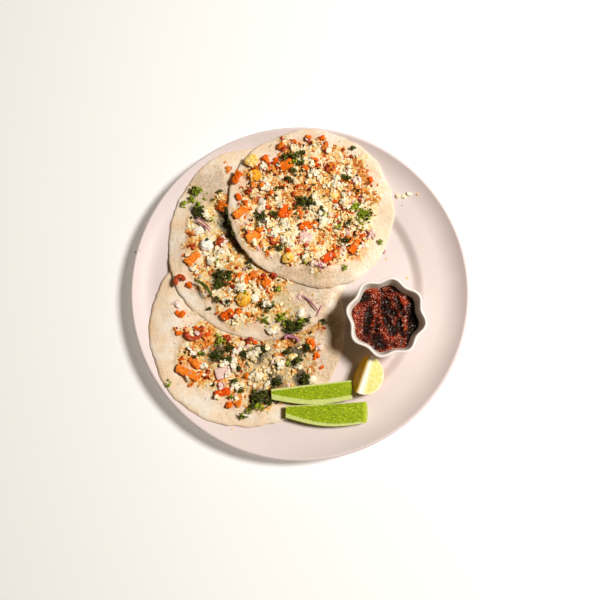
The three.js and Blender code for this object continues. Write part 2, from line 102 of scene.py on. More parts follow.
# At what share of its thickness a disc's edge is rounded, how far in, and how far inside the solid it stays.
EDGE_LEVEL, EDGE_ROUNDING, EDGE_INSET = 0.12, 2.2, 0.35
SKIN_SEGMENTS, SKIN_RING_GAP = 470, 0.85
# Between pieces that stand on each other.
GAP = 0.35

BOWL_CENTRE = (66.3, -25.8)
BOWL_BASE = WELL_HEIGHT + GAP
BOWL_HEIGHT, BOWL_LOBES, BOWL_TURN = 29.6, 8, -11
BOWL_WALL, BOWL_FLOOR = 2.2, 3.0
BOWL_FOOT_INNER, BOWL_FOOT_OUTER, BOWL_FOOT_HEIGHT = 13.5, 16.8, 1.4
BOWL_BELLY, BOWL_RIM = 20.5, 30.3
# The share of the wall's height where the rounded rim starts, and how far that rises.
BOWL_RIM_START, BOWL_RIM_RISE = 0.96, 0.98
BOWL_SEGMENTS = 256
# The bowl's inside is glazed darker and olive: painted shade inside the bowl.
BOWL_COLOUR, BOWL_INSIDE_COLOUR = (0.95, 0.88, 0.83), (0.74, 0.68, 0.58)
LOBE_AT_FOOT, LOBE_AT_RIM = 0.35, 1.7
CHUTNEY_LEVEL = 20.6

LIME_RIDGE, LIME_TURN = (48.6, -68.6), 70
LIME_LENGTH, LIME_RADIUS, LIME_CORE = 30.5, 20.2, 1.6
LIME_LIT_FACE, LIME_SHADED_FACE = 211, 284

CUCUMBER_DEPTH, CUCUMBER_CROWN = 8.6, 0.3
# left and right are the widths of the two ends, bulge how much wider the middle is, bow how far it bends
# aside and slants how the ends are cut. flesh_upper and flesh_lower are the seedless margins of the cut face
# at the two ends, and the last value is how strongly the cut at the right end is painted a light
# yellow-green:
# the cut flesh's colour and also painted light where that end faces the lamp. The back stick's end keeps the
# duller side colour, as painted shade.
STICKS = {
    "cucumber_stick_back": dict(
        centre=(9.0, -82.3), turn=3.2, length=62.5, left=7.8, right=14.4, bulge=4.2, bow=2.0,
        slants=(0.15, 0.05), flesh_upper=(1.6, 1.0), flesh_lower=(3.8, 3.0), end_bright=0.0,
    ),
    "cucumber_stick_front": dict(
        centre=(20.0, -97.6), turn=-0.3, length=62.0, left=8.8, right=16.0, bulge=4.4, bow=2.4,
        slants=(0.1, 0.22), flesh_upper=(0.8, 0.3), flesh_lower=(3.0, 1.0), end_bright=1.0,
    ),
}
# Thickness of the small toppings baked into a disc's top, and how far the large toppings sink into it.
TOPPING_BED, TOPPING_SINK = 1.2, 0.1
# How far a leaning piece is lifted, as a share of its lean and width.
PROPPED = 0.06

# ---- Noise ----

# Seeds only keep one use of the noise from repeating another. The factors scatter neighbouring cells.
CELL_FACTORS = (374761393, 668265263, 1442695041)
SEED_FACTOR = 974634777
MIXING = ((15, 2246822519), (13, 3266489917))


def lattice(cell, seed):
    """A repeatable value from -1 to 1 for each whole-numbered cell; large products simply wrap around."""
    whole = cell.astype(np.int64)
    with np.errstate(over="ignore"):
        mixed = sum(whole[..., axis] * factor for axis, factor in enumerate(CELL_FACTORS))
        mixed = mixed + seed * SEED_FACTOR
        for shift, factor in MIXING:
            mixed = ((mixed ^ (mixed >> shift)) * factor) & 0xFFFFFFFF
    return ((mixed ^ (mixed >> 16)) & 0xFFFF) / 32767.5 - 1.0


def noise(points, size, seed):
    """Smooth noise from -1 to 1 with bumps about size across."""
    scaled = points / size
    cell = np.floor(scaled)
    part = scaled - cell
    part = part * part * (3 - 2 * part)
    total = np.zeros(points.shape[:-1])
    for corner in np.ndindex(2, 2, 2):
        weight = np.prod(np.where(corner, part, 1 - part), axis=-1)
        total += weight * lattice(cell + np.array(corner), seed)
    return total


def fractal(points, size, seed, octaves=3):
    """Noise with finer noise added, each octave half the size and half the height."""
    layers = [0.5**k * noise(points, size * 0.5**k, seed + 31 * k) for k in range(octaves)]
    return sum(layers) / sum(0.5**k for k in range(octaves))


def nearest_cell(points, size, seed):
    """Distance to the nearest of scattered centres about size apart, in sizes, and its own value."""
    scaled = points / size
    cell = np.floor(scaled)
    best = np.full(points.shape[:-1], 9.0)
    value = np.zeros(points.shape[:-1])
    for offset in np.ndindex(3, 3, 3):
        there = cell + np.array(offset) - 1
        jitter = np.stack([lattice(there, seed + axis) for axis in (1, 2, 3)], axis=-1)
        away = np.linalg.norm(there + 0.5 + 0.42 * jitter - scaled, axis=-1)
        value = np.where(away < best, lattice(there, seed + 9), value)
        best = np.minimum(best, away)
    return best, value


def smoothstep(value, low, high):
    """0 up to low, 1 from high on, and a soft rise between them."""
    share = np.clip((value - low) / (high - low), 0, 1)
    return share * share * (3 - 2 * share)


def mix(a, b, share):
    return a + (b - a) * share


def dome(away, reach=1.0):
    """Height of a half ball at a distance from its middle: 1 in the middle, 0 from reach on."""
    return np.sqrt(np.clip(1 - (away / reach) ** 2, 0, 1))


def full_turn(count):
    """Evenly spaced angles all the way round."""
    return np.linspace(0, 2 * math.pi, count, endpoint=False)


def circle(turn, radius, height=0.0, centre=(0, 0)):
    """Points of a level ring about a centre, one at each turn."""
    x, y = centre
    return np.stack([x + radius * np.cos(turn), y + radius * np.sin(turn), np.full_like(turn, height)], -1)


# ---- Materials ----


def shade(red, green, blue):
    """A linear colour from its everyday (sRGB) values of 0 to 255."""
    shares = (value / 255 for value in (red, green, blue))
    return tuple(c / 12.92 if c <= 0.04045 else ((c + 0.055) / 1.055) ** 2.4 for c in shares)


class Surface:
    """A material whose nodes are added one call at a time around one Principled shader."""

    def __init__(self, name, roughness, **constants):
        self.material = bpy.data.materials.new(name)
        self.material.use_nodes = True
        self.tree = self.material.node_tree
        self.shader = self.tree.nodes["Principled BSDF"]
        self.shader.inputs["Roughness"].default_value = roughness
        self.shader.inputs["Subsurface Radius"].default_value = (1.0, 0.95, 0.9)
        for socket, value in constants.items():
            self.shader.inputs[socket.replace("_", " ")].default_value = value
        self.place = self.tree.nodes.new("ShaderNodeTexCoord").outputs["Object"]

    def feed(self, socket, value):
        """Links a socket to another one, or sets its colour or number."""
        if isinstance(value, bpy.types.NodeSocket):
            self.tree.links.new(value, socket)
        elif isinstance(value, tuple) and len(value) == 3:
            socket.default_value = (*value, 1)
        else:
            socket.default_value = value

    def node(self, kind, output, inputs, **settings):
        """One of the outputs of a new node with these inputs and settings."""
        node = self.tree.nodes.new("ShaderNode" + kind)
        for key, value in settings.items():
            setattr(node, key, value)
        for key, value in inputs.items():
            self.feed(node.inputs[key], value)
        return node.outputs[output]

    def noise(self, size, detail, rough=0.55):
        """Noise with features about size millimetres across."""
        scale = 1 / (size * MM)
        inputs = {"Scale": scale, "Detail": detail, "Roughness": rough, "Vector": self.place}
        return self.node("TexNoise", "Fac", inputs)

    def attribute(self, name):
        return self.node("Attribute", "Fac", {}, attribute_name=name)

    def ramp(self, factor, *stops):
        """A colour ramp; each stop is (position, (r, g, b)) or (position, grey)."""
        output = self.node("ValToRGB", "Color", {"Fac": factor})
        elements = output.node.color_ramp.elements
        while len(elements) < len(stops):
            elements.new(0.5)
        for element, (position, colour) in zip(elements, stops):
            element.position = position
            element.color = (*colour, 1) if isinstance(colour, tuple) else (colour, colour, colour, 1)
        return output

    def blend(self, factor, first, second, mode="MIX"):
        """Two colours blended; the Mix node's sockets 6 and 7 are its colours, and 2 the colour it gives."""
        return self.node("Mix", 2, {0: factor, 6: first, 7: second}, data_type="RGBA", blend_type=mode)

    def math(self, operation, first, second):
        return self.node("Math", 0, {0: first, 1: second}, operation=operation)

    def unsettled(self, value, noise, amount=1.0):
        """A value moved up and down by noise, over a span of amount."""
        return self.math("ADD", value, self.math("MULTIPLY", self.math("SUBTRACT", noise, 0.5), amount))

    def bump(self, height, depth, strength=1.0):
        """Adds relief whose full height is depth millimetres."""
        inputs = {"Strength": strength, "Distance": depth * MM, "Height": height}
        self.feed(self.shader.inputs["Normal"], self.node("Bump", "Normal", inputs))

    def finish(self, colour, roughness=None):
        self.feed(self.shader.inputs["Base Color"], colour)
        if roughness is not None:
            self.feed(self.shader.inputs["Roughness"], roughness)
        return self.material


def glaze(name, colour, inside):
    """Glazed ware; inside is the colour where the attribute of that name is 1. On the bowl it is a darker,
    olive tone: painted shade inside the bowl.
    """
    s = Surface(name, 0.45, Specular_IOR_Level=0.3)
    warm = tuple(0.96 * c for c in colour)
    tone = s.blend(s.ramp(s.noise(40, 2), (0.35, 0.0), (0.65, 1.0)), colour, warm)
    tone = s.blend(s.attribute("inside"), tone, inside)
    s.bump(s.noise(6, 2), 0.05)
    return s.finish(tone, s.ramp(s.noise(3, 3), (0.3, 0.42), (0.7, 0.48)))


def batter():
    """The pancakes' batter: pale at the margin, browned between the toppings, tanned at the rim."""
    s = Surface("steamed_batter", 0.62, Subsurface_Weight=0.18, Subsurface_Scale=0.002)
    pale = s.ramp(s.noise(16, 4, 0.6), (0.3, shade(253, 222, 186)), (0.46, shade(255, 232, 203)),
                  (0.64, shade(255, 244, 227)))
    fine = s.ramp(s.noise(1.8, 5, 0.8), (0.38, 0.86), (0.52, 1.0))
    pale = s.blend(0.8, pale, fine, "MULTIPLY")
    warm = s.math("MULTIPLY", s.attribute("rim"), s.ramp(s.noise(6, 2), (0.35, 0.35), (0.65, 1.0)))
    pale = s.blend(warm, pale, shade(242, 184, 108))
    # Damp batter beside the toppings, darkened also as painted shade cast by the raised toppings onto the
    # margin.
    damp = s.math("MULTIPLY", s.attribute("damp"), s.ramp(s.noise(5, 3, 0.6), (0.35, 0.45), (0.6, 1.0)))
    pale = s.blend(damp, pale, shade(222, 182, 126))
    mottle = s.math("SUBTRACT", s.attribute("toasted"), s.math("MULTIPLY", s.attribute("grain"), 0.35))
    mottle = s.unsettled(mottle, s.noise(1.1, 3, 0.65), 1.9)
    topped = s.ramp(mottle, (0.05, shade(252, 238, 200)), (0.3, shade(248, 216, 146)),
                    (0.55, shade(246, 192, 96)), (0.78, shade(226, 142, 46)), (1.0, shade(176, 84, 18)))
    tone = s.blend(s.ramp(s.attribute("cover"), (0.2, 0.0), (0.85, 1.0)), pale, topped)
    # Dull patches: thin, greyer batter, and painted shade where a margin slopes away from the lamp or lies
    # in the bowl's shadow.
    thin = s.ramp(s.noise(2.2, 4, 0.7), (0.36, 0.0), (0.64, 1.0))
    thin = s.blend(thin, (0.5, 0.44, 0.36), (0.84, 0.79, 0.71))
    tone = s.blend(s.attribute("dull"), tone, thin, "MULTIPLY")
    # Stains: dark herbs, and under the top disc's lifted edge a painted shadow.
    stain = s.math("MULTIPLY", s.attribute("stain"), s.ramp(s.noise(1.8, 3, 0.6), (0.36, 1.0), (0.62, 0.7)))
    tone = s.blend(stain, tone, shade(36, 30, 9))
    # Pinholes: the dark in them is painted shade.
    tone = s.blend(s.attribute("pit"), tone, (0.42, 0.27, 0.12))
    s.bump(s.noise(1.5, 4, 0.7), 0.8, 0.8)
    return s.finish(tone, s.ramp(s.noise(5, 3), (0.3, 0.5), (0.7, 0.75)))


def sauce():
    """Dark between the ridges and red on them, the dark partly painted shade, with small painted glints on
    the higher places.
    """
    s = Surface("cooked_chutney", 0.1, Specular_IOR_Level=0.25)
    height = s.unsettled(s.attribute("height"), s.noise(1.3, 3), 0.6)
    # Low places are dark: painted shade in the hollows and, on the low right side, a painted shadow of the
    # bowl's wall.
    tone = s.ramp(height, (0.14, shade(14, 6, 3)), (0.36, shade(44, 10, 3)), (0.54, shade(106, 20, 4)),
                  (0.74, shade(166, 42, 8)), (0.98, shade(222, 104, 40)))
    tone = s.blend(s.ramp(s.noise(2.0, 2, 0.6), (0.3, 0.6), (0.4, 0.0)), tone, shade(24, 9, 5))
    # Painted glints: light dots on the higher places.
    glint = s.math("MULTIPLY", s.ramp(s.noise(0.9, 1, 0.5), (0.6, 0.0), (0.67, 0.9)),
                   s.ramp(height, (0.4, 0.1), (0.6, 1.0)))
    tone = s.blend(glint, tone, shade(244, 182, 140))
    s.bump(s.noise(1.5, 1, 0.5), 0.7)
    return s.finish(tone, s.ramp(s.noise(2.5, 2), (0.35, 0.06), (0.65, 0.16)))


def citrus():
    """Pale flesh with yellow-green pulp, and yellow rind."""
    s = Surface("cut_lime", 0.45, Specular_IOR_Level=0.15, Subsurface_Weight=0.12, Subsurface_Scale=0.002)
    pulp = s.ramp(s.attribute("vesicle"), (0.1, shade(222, 214, 120)), (0.5, shade(238, 230, 158)),
                  (0.9, shade(250, 243, 200)))
    pulp = s.blend(s.ramp(s.noise(1.6, 3), (0.4, 0.55), (0.6, 0.0)), pulp, shade(212, 206, 96))
    flesh = s.blend(s.attribute("pulp"), shade(254, 247, 228), pulp)
    # Zest colours the rind and, as a painted glow, the shaded cut face.
    zest = s.blend(s.noise(5, 3), shade(222, 164, 8), shade(248, 204, 44))
    s.bump(s.noise(0.9, 2), 0.2)
    return s.finish(s.blend(s.attribute("rind"), flesh, zest))


def cucumber():
    """Peeled cucumber: seeded core and paler margins on the cut face, duller sides, and one cut end in the
    core's yellow-green, partly painted light.
    """
    s = Surface("cut_cucumber", 0.5, Specular_IOR_Level=0.15, Subsurface_Weight=0.2, Subsurface_Scale=0.003)
    core = s.blend(s.noise(5, 2), shade(152, 182, 0), shade(192, 208, 12))
    specks = s.ramp(s.attribute("seeds"), (0.1, 0.0), (0.6, 1.0))
    core = s.blend(specks, core, shade(222, 228, 70))
    core = s.blend(s.ramp(s.noise(0.9, 2, 0.6), (0.42, 0.0), (0.6, 0.85)), core, shade(100, 130, 2))
    flesh = s.blend(s.noise(3, 3), shade(200, 214, 110), shade(226, 234, 152))
    side = s.blend(s.noise(4, 2), shade(166, 178, 64), shade(190, 200, 96))
    ragged = s.unsettled(s.attribute("seeded"), s.noise(1.6, 3, 0.6))
    flesh = s.blend(s.ramp(ragged, (0.3, 0.0), (0.7, 1.0)), flesh, core)
    tone = s.blend(s.attribute("face"), side, flesh)
    s.bump(s.noise(0.8, 3), 0.2)
    # The right end's cut: the flesh's colour and painted light.
    return s.finish(s.blend(s.attribute("bright"), tone, shade(188, 206, 44)))


def toned(name, roughness, size, stops, spots=None, under=None, depth=0.15, **constants):
    """A food whose colour runs through stops by each piece's own tone and by mottling of a size.

    spots is the colour of small spots, and under that of the lower part of each piece: partly a toasted
    underside and partly painted shade on the lower sides.
    """
    s = Surface(name, roughness, **constants)
    own = s.math("MULTIPLY", s.attribute("tone"), 0.5)
    mottling = s.math("MULTIPLY", s.ramp(s.noise(size, 3, 0.6), (0.3, 0.0), (0.7, 1.0)), 0.5)
    steps = np.linspace(0.08, 0.92, len(stops))
    colours = ((float(step), shade(*stop)) for step, stop in zip(steps, stops))
    tone = s.ramp(s.math("ADD", own, mottling), *colours)
    if spots:
        tone = s.blend(s.ramp(s.noise(size * 0.6, 2), (0.6, 0.0), (0.68, 0.85)), tone, shade(*spots))
    # The lower part of each piece: a toasted underside and painted shade.
    if under:
        tone = s.blend(s.ramp(s.attribute("low"), (0.35, 0.0), (0.9, 0.75)), tone, shade(*under))
    s.bump(s.noise(size * 0.35, 3), depth)
    return s.finish(tone)


# Each food's stops run from its darkest colour to its lightest. Where a food has an under colour, it is
# partly painted shade on the lower part of each piece.
FOODS = {
    "fresh_paneer": dict(
        roughness=0.6, size=2.0, stops=((253, 238, 206), (255, 249, 232), (255, 254, 244)),
        under=(246, 212, 156), depth=0.3,
    ),
    "fried_paneer": dict(
        roughness=0.6, size=2.6, under=(230, 146, 34), depth=0.4, Specular_IOR_Level=0.2,
        stops=((226, 128, 8), (248, 174, 32), (254, 208, 84), (255, 236, 176), (255, 248, 228)),
    ),
    "paneer_crumb": dict(
        roughness=0.62, size=2.2, stops=((232, 158, 56), (250, 206, 114), (255, 233, 168), (255, 246, 212)),
        under=(232, 160, 64),
    ),
    "white_crumb": dict(
        roughness=0.6, size=1.6, stops=((250, 216, 140), (255, 240, 194), (255, 250, 228), (255, 254, 244)),
        under=(240, 190, 110), depth=0.25,
    ),
    "browned_crumb": dict(
        roughness=0.5, size=1.4, stops=((146, 50, 6), (208, 92, 14), (244, 150, 48), (254, 206, 116)),
        under=(180, 84, 18), Specular_IOR_Level=0.3,
    ),
    "carrot": dict(
        roughness=0.6, size=1.3, stops=((222, 64, 0), (245, 96, 2), (255, 128, 14), (255, 178, 78)),
        spots=(196, 48, 2), under=(206, 66, 2), depth=0.4, Specular_IOR_Level=0.15,
    ),
    "tomato": dict(
        roughness=0.4, size=1.6, stops=((84, 18, 6), (138, 30, 8), (186, 58, 14), (228, 122, 52)),
        spots=(62, 12, 4), Specular_IOR_Level=0.3,
    ),
    "dark_coriander": dict(
        roughness=0.6, size=1.5, stops=((20, 21, 6), (42, 46, 10), (74, 82, 20), (126, 132, 48)),
        Specular_IOR_Level=0.2,
    ),
    "green_coriander": dict(
        roughness=0.5, size=1.8, stops=((50, 62, 4), (104, 122, 12), (158, 176, 30), (208, 222, 78)),
        Specular_IOR_Level=0.3,
    ),
    "onion": dict(
        roughness=0.35, size=1.6, stops=((206, 146, 142), (242, 208, 196), (253, 238, 224)), depth=0.1,
    ),
    "onion_skin": dict(roughness=0.3, size=1.6, stops=((140, 62, 92), (184, 102, 134), (226, 168, 188))),
    "fleck": dict(roughness=0.5, size=0.6, stops=((40, 28, 14), (86, 54, 22), (120, 84, 36))),
}
MATERIALS = {name: toned(name, **food) for name, food in FOODS.items()}
BATTER, CUCUMBER = batter(), cucumber()


# ---- Making pieces ----

# Edges sharper than this look like edges and not like bends.
CREASE = math.radians(42)


def add_object(name, data):
    thing = bpy.data.objects.new(name, data)
    bpy.context.collection.objects.link(thing)
    return thing


def smooth_mesh(name, points, faces, material):
    """A smooth mesh through points in metres."""
    mesh = bpy.data.meshes.new(name)
    mesh.from_pydata(points.tolist(), [], faces)
    mesh.shade_smooth()
    mesh.materials.append(material)
    return mesh


def add_piece(name, points, faces, material, slot, replaces=(), **attributes):
    """One piece of the dressed part; attributes are values of its points that its material reads."""
    mesh = smooth_mesh(name, np.asarray(points) * MM, faces, material)
    mesh.set_sharp_from_angle(angle=CREASE)
    for key, values in attributes.items():
        mesh.attributes.new(key, "FLOAT", "POINT").data.foreach_set("value", values)
    piece = add_object(name, mesh)
    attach(piece, "root")
    if replaces:
        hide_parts(*replaces)
    return piece


def ring_surface(rings, first=None, last=None):
    """Points and faces through rings of points. A pole given at an end closes that end."""
    rings = np.asarray(rings, float)
    count, around = rings.shape[:2]
    points = rings.reshape(-1, 3)
    ring, step = np.mgrid[0 : count - 1, 0:around]
    here, beside = ring * around + step, ring * around + (step + 1) % around
    faces = np.stack([here, beside, beside + around, here + around], -1).reshape(-1, 4).tolist()
    steps = np.arange(around)
    for pole, start, flip in ((first, 0, True), (last, (count - 1) * around, False)):
        if pole is None:
            continue
        tip = len(points)
        points = np.vstack([points, pole])
        edge = np.stack([start + steps, start + (steps + 1) % around], -1)
        edge = edge[:, ::-1] if flip else edge
        faces += [[int(a), int(b), tip] for a, b in edge]
    return points, faces


def closed_surface(rings):
    """Points and faces through rings of points, closed in the middle of the first and the last ring."""
    rings = np.asarray(rings)
    return ring_surface(rings, rings[0].mean(0), rings[-1].mean(0))


def placed(points, origin, turn, tilt=0.0):
    """Points turned down about Y by tilt, then about Z by turn in degrees, and moved to origin."""
    turn = math.radians(turn)
    y_turn = np.array([[math.cos(tilt), 0, math.sin(tilt)], [0, 1, 0], [-math.sin(tilt), 0, math.cos(tilt)]])
    z_turn = np.array([[math.cos(turn), -math.sin(turn), 0], [math.sin(turn), math.cos(turn), 0], [0, 0, 1]])
    return np.asarray(points) @ (z_turn @ y_turn).T + origin


def to_points(values, poles=(0.0, 0.0)):
    """Values for all points of a closed ring surface: those of its rings, then of its two poles."""
    return np.append(values, poles)


def node_box(node):
    """The lowest and the highest corner of a node."""
    return [np.array(corner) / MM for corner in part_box(node)]


def tree_of(node):
    """A search tree of a node's solid, in metres."""
    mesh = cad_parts[node].data
    return BVHTree.FromPolygons([v.co for v in mesh.vertices], [list(p.vertices) for p in mesh.polygons])


# ---- Plate ----

SHOULDER_END = WELL_RADIUS + SHOULDER_WIDTH
BRIM_START = SHOULDER_END + LEDGE_WIDTH
LIP_TILT = math.atan(LEDGE_SLOPE + BRIM_CURVE * BRIM_RISE / (PLATE_RADIUS - BRIM_START))
BRIM_END = PLATE_RADIUS - LIP_RADIUS * (1 + math.sin(LIP_TILT))


def plate_top(radius):
    """Height of the plate's upper side at a radius: well, shoulder, ledge and brim."""
    shoulder = smoothstep(radius, WELL_RADIUS, SHOULDER_END)
    ledge = np.maximum(0, radius - SHOULDER_END) * LEDGE_SLOPE
    brim = np.maximum(0, radius - BRIM_START) / (PLATE_RADIUS - BRIM_START)
    return WELL_HEIGHT + SHOULDER_RISE * shoulder + ledge + BRIM_RISE * brim**BRIM_CURVE


def revolve(profile, segments):
    """Points and faces of a profile of (radius, height) turned about Z; its ends lie on the axis."""
    turn = full_turn(segments)
    rings = [circle(turn, radius, height) for radius, height in profile[1:-1]]
    return ring_surface(rings, (0, 0, profile[0][1]), (0, 0, profile[-1][1]))


def make_plate():
    under = np.linspace(FOOT_OUTER + FOOT_FLARE, BRIM_END, 34)
    over = np.linspace(BRIM_END, WELL_RADIUS - 4, 40)
    recess = WELL_HEIGHT - PLATE_THICKNESS
    turn = np.linspace(LIP_TILT - math.pi / 2, LIP_TILT + math.pi / 2, 14)[1:-1]
    lip_r = BRIM_END + LIP_RADIUS * math.sin(LIP_TILT)
    lip_z = plate_top(BRIM_END) - LIP_RADIUS * math.cos(LIP_TILT)
    # the foot from the middle outwards: radius, and height as a share of the recess
    foot = (
        (0, 1), (30, 1), (FOOT_INNER - FOOT_FLARE, 1), (FOOT_INNER - 1, 0.55), (FOOT_INNER, 0.15),
        (FOOT_INNER + 0.8, 0), (FOOT_OUTER - 0.8, 0), (FOOT_OUTER, 0.15), (FOOT_OUTER + 1, 0.55),
    )
    profile = [
        *((radius, recess * share) for radius, share in foot),
        *zip(under, plate_top(under) - PLATE_THICKNESS),
        *zip(lip_r + LIP_RADIUS * np.cos(turn), lip_z + LIP_RADIUS * np.sin(turn)),
        *zip(over, plate_top(over)),
        (40, WELL_HEIGHT),
        (0, WELL_HEIGHT),
    ]
    points, faces = revolve(profile, PLATE_SEGMENTS)
    material = glaze("plate_glaze", PLATE_COLOUR, PLATE_COLOUR)
    return add_piece("plate_glazed", points, faces, material, "plate_glaze", ["plate"])


# ---- Uttapams ----


class Underside:
    """Heights of a node's underside on a square grid, smoothed and carried past its outline."""

    STEP, MARGIN, SMOOTHING = 2.0, 12.0, 4.5
    BELOW = 20.0

    def __init__(self, node):
        low, high = node_box(node)
        self.low = low[:2] - self.MARGIN
        shape = np.ceil((high[:2] + self.MARGIN - self.low) / self.STEP).astype(int) + 1
        tree = tree_of(node)
        start = (low[2] - self.BELOW) * MM
        heights = np.full(shape, np.nan)
        for i, j in np.ndindex(*shape):
            x, y = (self.low + self.STEP * np.array((i, j))) * MM
            hit = tree.ray_cast(Vector((x, y, start)), UP)[0]
            if hit:
                heights[i, j] = hit.z / MM
        known = ~np.isnan(heights)
        self.values = self.smooth(np.where(known, heights, 0), known)

    def smooth(self, heights, known):
        """Blurred heights; places without a height of their own take those around them."""
        reach = np.arange(-3 * self.SMOOTHING, 3 * self.SMOOTHING + self.STEP, self.STEP)
        kernel = np.exp(-0.5 * (reach / self.SMOOTHING) ** 2)

        def blur(field):
            for axis in (0, 1):
                field = np.apply_along_axis(np.convolve, axis, field, kernel, mode="same")
            return field

        weight = blur(known.astype(float)) + 1e-9
        first = blur(heights * known) / weight
        return first + blur((heights - first) * known) / weight

    def __call__(self, x, y):
        u = np.clip((x - self.low[0]) / self.STEP, 0, self.values.shape[0] - 1.001)
        v = np.clip((y - self.low[1]) / self.STEP, 0, self.values.shape[1] - 1.001)
        i, j = u.astype(int), v.astype(int)
        a, b, grid = u - i, v - j, self.values
        near = grid[i, j] * (1 - b) + grid[i, j + 1] * b
        far = grid[i + 1, j] * (1 - b) + grid[i + 1, j + 1] * b
        return near * (1 - a) + far * a


def outline_radius(disc, turn):
    """Distance from a disc's centre to its ragged edge at each turn, just inside the solid's."""
    swell = sum(share * np.cos(lobes * (turn - math.radians(at))) for lobes, share, at in disc["waves"])
    flat_turn, spread, flat_share = disc.get("flat", (0, 1, 0))
    off = np.degrees(np.arccos(np.cos(turn - math.radians(flat_turn))))
    swell = swell - flat_share * np.exp(-((off / spread) ** 2))
    rim = circle(turn, disc["radius"])
    ragged = 0.8 * noise(rim, 8, 3) + 0.4 * noise(rim, 3, 4)
    return disc["radius"] * (1 + swell) + ragged - EDGE_INSET


def patchiness(patches, points):
    """1 in the middle of patches (x, y, reach), falling to 0 around them."""
    share = np.zeros(points.shape[:-1])
    for x, y, reach in patches:
        away = np.hypot(points[..., 0] - x, points[..., 1] - y)
        away = away + 0.35 * reach * noise(points * (1, 1, 0), 6, 23)
        share = np.maximum(share, 1 - smoothstep(away, 0.45 * reach, reach))
    return share


def topping_cover(disc, points, spread=0.0):
    """1 where a disc is covered by toppings, 0 on its bare margin; spread widens the covered part."""
    x, y, radius = disc["topped"]
    flat = points * (1, 1, 0)
    away = np.hypot(points[..., 0] - x, points[..., 1] - y)
    away = away + 8 * noise(flat, 14, 21) + 5 * noise(flat, 5, 22)
    return (1 - smoothstep(away - spread, radius - 7, radius + 4)) * (1 - patchiness(disc["bare"], points))


def uttapam_sides(name, disc):
    """Rings of a disc's top and underside, each from the middle out, and the edge's distance."""
    underside = Underside(name)
    turn = full_turn(SKIN_SEGMENTS)
    reach = outline_radius(disc, turn)
    shares = np.linspace(0.02, 1, int(disc["radius"] / SKIN_RING_GAP)) ** 0.9
    inset = EDGE_ROUNDING * (1 - np.sin(np.linspace(0, math.pi / 2, 7)[:-1]))

    def ring(radii, rise):
        """One ring of the skin, raised above the underside by what rise makes of thickness and rounding."""
        points = circle(turn, radii, centre=disc["centre"])
        thick = mix(DISC_THICKNESS, DISC_EDGE, (radii / reach) ** DISC_THINNING)
        rounding = dome(1 - np.clip((reach - radii) / EDGE_ROUNDING, 0, 1))
        points[:, 2] = underside(points[:, 0], points[:, 1]) + rise(thick, rounding)
        return points

    inner = [share * (reach - EDGE_ROUNDING) for share in shares]
    rim = [reach - gap for gap in inset]
    top = [ring(r, lambda t, half: t * (EDGE_LEVEL + (1 - EDGE_LEVEL) * half)) for r in inner + rim]
    coarse = inner[::4] + inner[-1:] + rim
    bottom = [ring(r, lambda t, half: t * EDGE_LEVEL * (1 - half)) for r in coarse]
    return np.array(top), np.array(bottom), reach


def make_uttapam(name, disc, order):
    """One uttapam, with the relief of its top and what its material has to know about each place."""
    top, bottom, reach = uttapam_sides(name, disc)
    flat = top * (1, 1, 0) + (0, 0, 40 * order)
    cover = topping_cover(disc, top)
    edge_away = reach - np.linalg.norm(top[..., :2] - disc["centre"], axis=-1)
    calm = smoothstep(edge_away, 0, 4)
    away, own = nearest_cell(flat, 3.4, 60 + order)
    # Pinholes, sunk a little and darkened in the material with painted shade.
    pit = (1 - smoothstep(away, 0.08, 0.24)) * (own > 0.5) * calm * (1 - 0.7 * cover)
    away, own = nearest_cell(flat + 0.5 * noise(flat, 1.5, 58)[..., None], 2.3, 62 + order)
    grains = dome(away, 0.6) * (0.5 + 0.5 * own)
    waves = 0.55 * fractal(flat, 20, 50 + order) + 0.22 * fractal(flat, 4, 51 + order)
    bed = TOPPING_BED + 1.2 * grains + 0.6 * fractal(flat, 5, 52) - 0.3
    top[..., 2] += waves * calm - 0.5 * pit + cover * calm * bed
    toasted = smoothstep(fractal(flat, 9, 80 + order) - 0.45 * own, -0.55, 0.6)
    toasted *= disc["toast"] * (1 - 0.6 * patchiness(disc["pale"], top))
    blotches = smoothstep(fractal(flat, 16, 85 + order), -0.25, 0.35)
    tanned = 0.12 * (1 - smoothstep(edge_away, 0.3, 3)) + 0.6 * blotches * (1 - smoothstep(edge_away, 1, 13))
    # A ring just outside the toppings: damp batter and painted shade of the raised toppings.
    damp = 0.35 * topping_cover(disc, top, 7.0) * smoothstep(edge_away, 3, 9)
    rings = np.concatenate([bottom, top[::-1]])
    poles = [(*disc["centre"], side[0, :, 2].mean()) for side in (bottom, top)]
    points, faces = ring_surface(rings, *poles)

    def skin(values, below=0.0):
        """Attribute values for every point: plain on the underside, as given on top."""
        return to_points(np.concatenate([np.full(bottom.shape[:2], below), values[::-1]]))

    return add_piece(
        name + "_skin", points, faces, BATTER, "uttapam", [name],
        cover=skin(cover * calm), toasted=skin(toasted), grain=skin(grains), pit=skin(pit),
        # dull patches: thin batter and painted shade
        rim=skin(tanned * disc["tan"], 0.1), damp=skin(damp), dull=skin(0.8 * patchiness(disc["dull"], top)),
        # stain: dark herbs, and a painted shadow under the top disc's lifted edge
        stain=skin(patchiness(disc["stained"], top)),
    )


# ---- Dip bowl ----


def bowl_wall(share):
    """Radius and lobe depth of the bowl's wall at a share of its height."""
    return mix(BOWL_BELLY, BOWL_RIM, share**0.8), mix(LOBE_AT_FOOT, LOBE_AT_RIM, share)


def lobed_ring(radius, depth, height):
    """A level ring of the fluted bowl."""
    turn = full_turn(BOWL_SEGMENTS)
    reach = radius + depth * np.cos(BOWL_LOBES * (turn - math.radians(BOWL_TURN)))
    return circle(turn, reach, BOWL_BASE + height, BOWL_CENTRE)


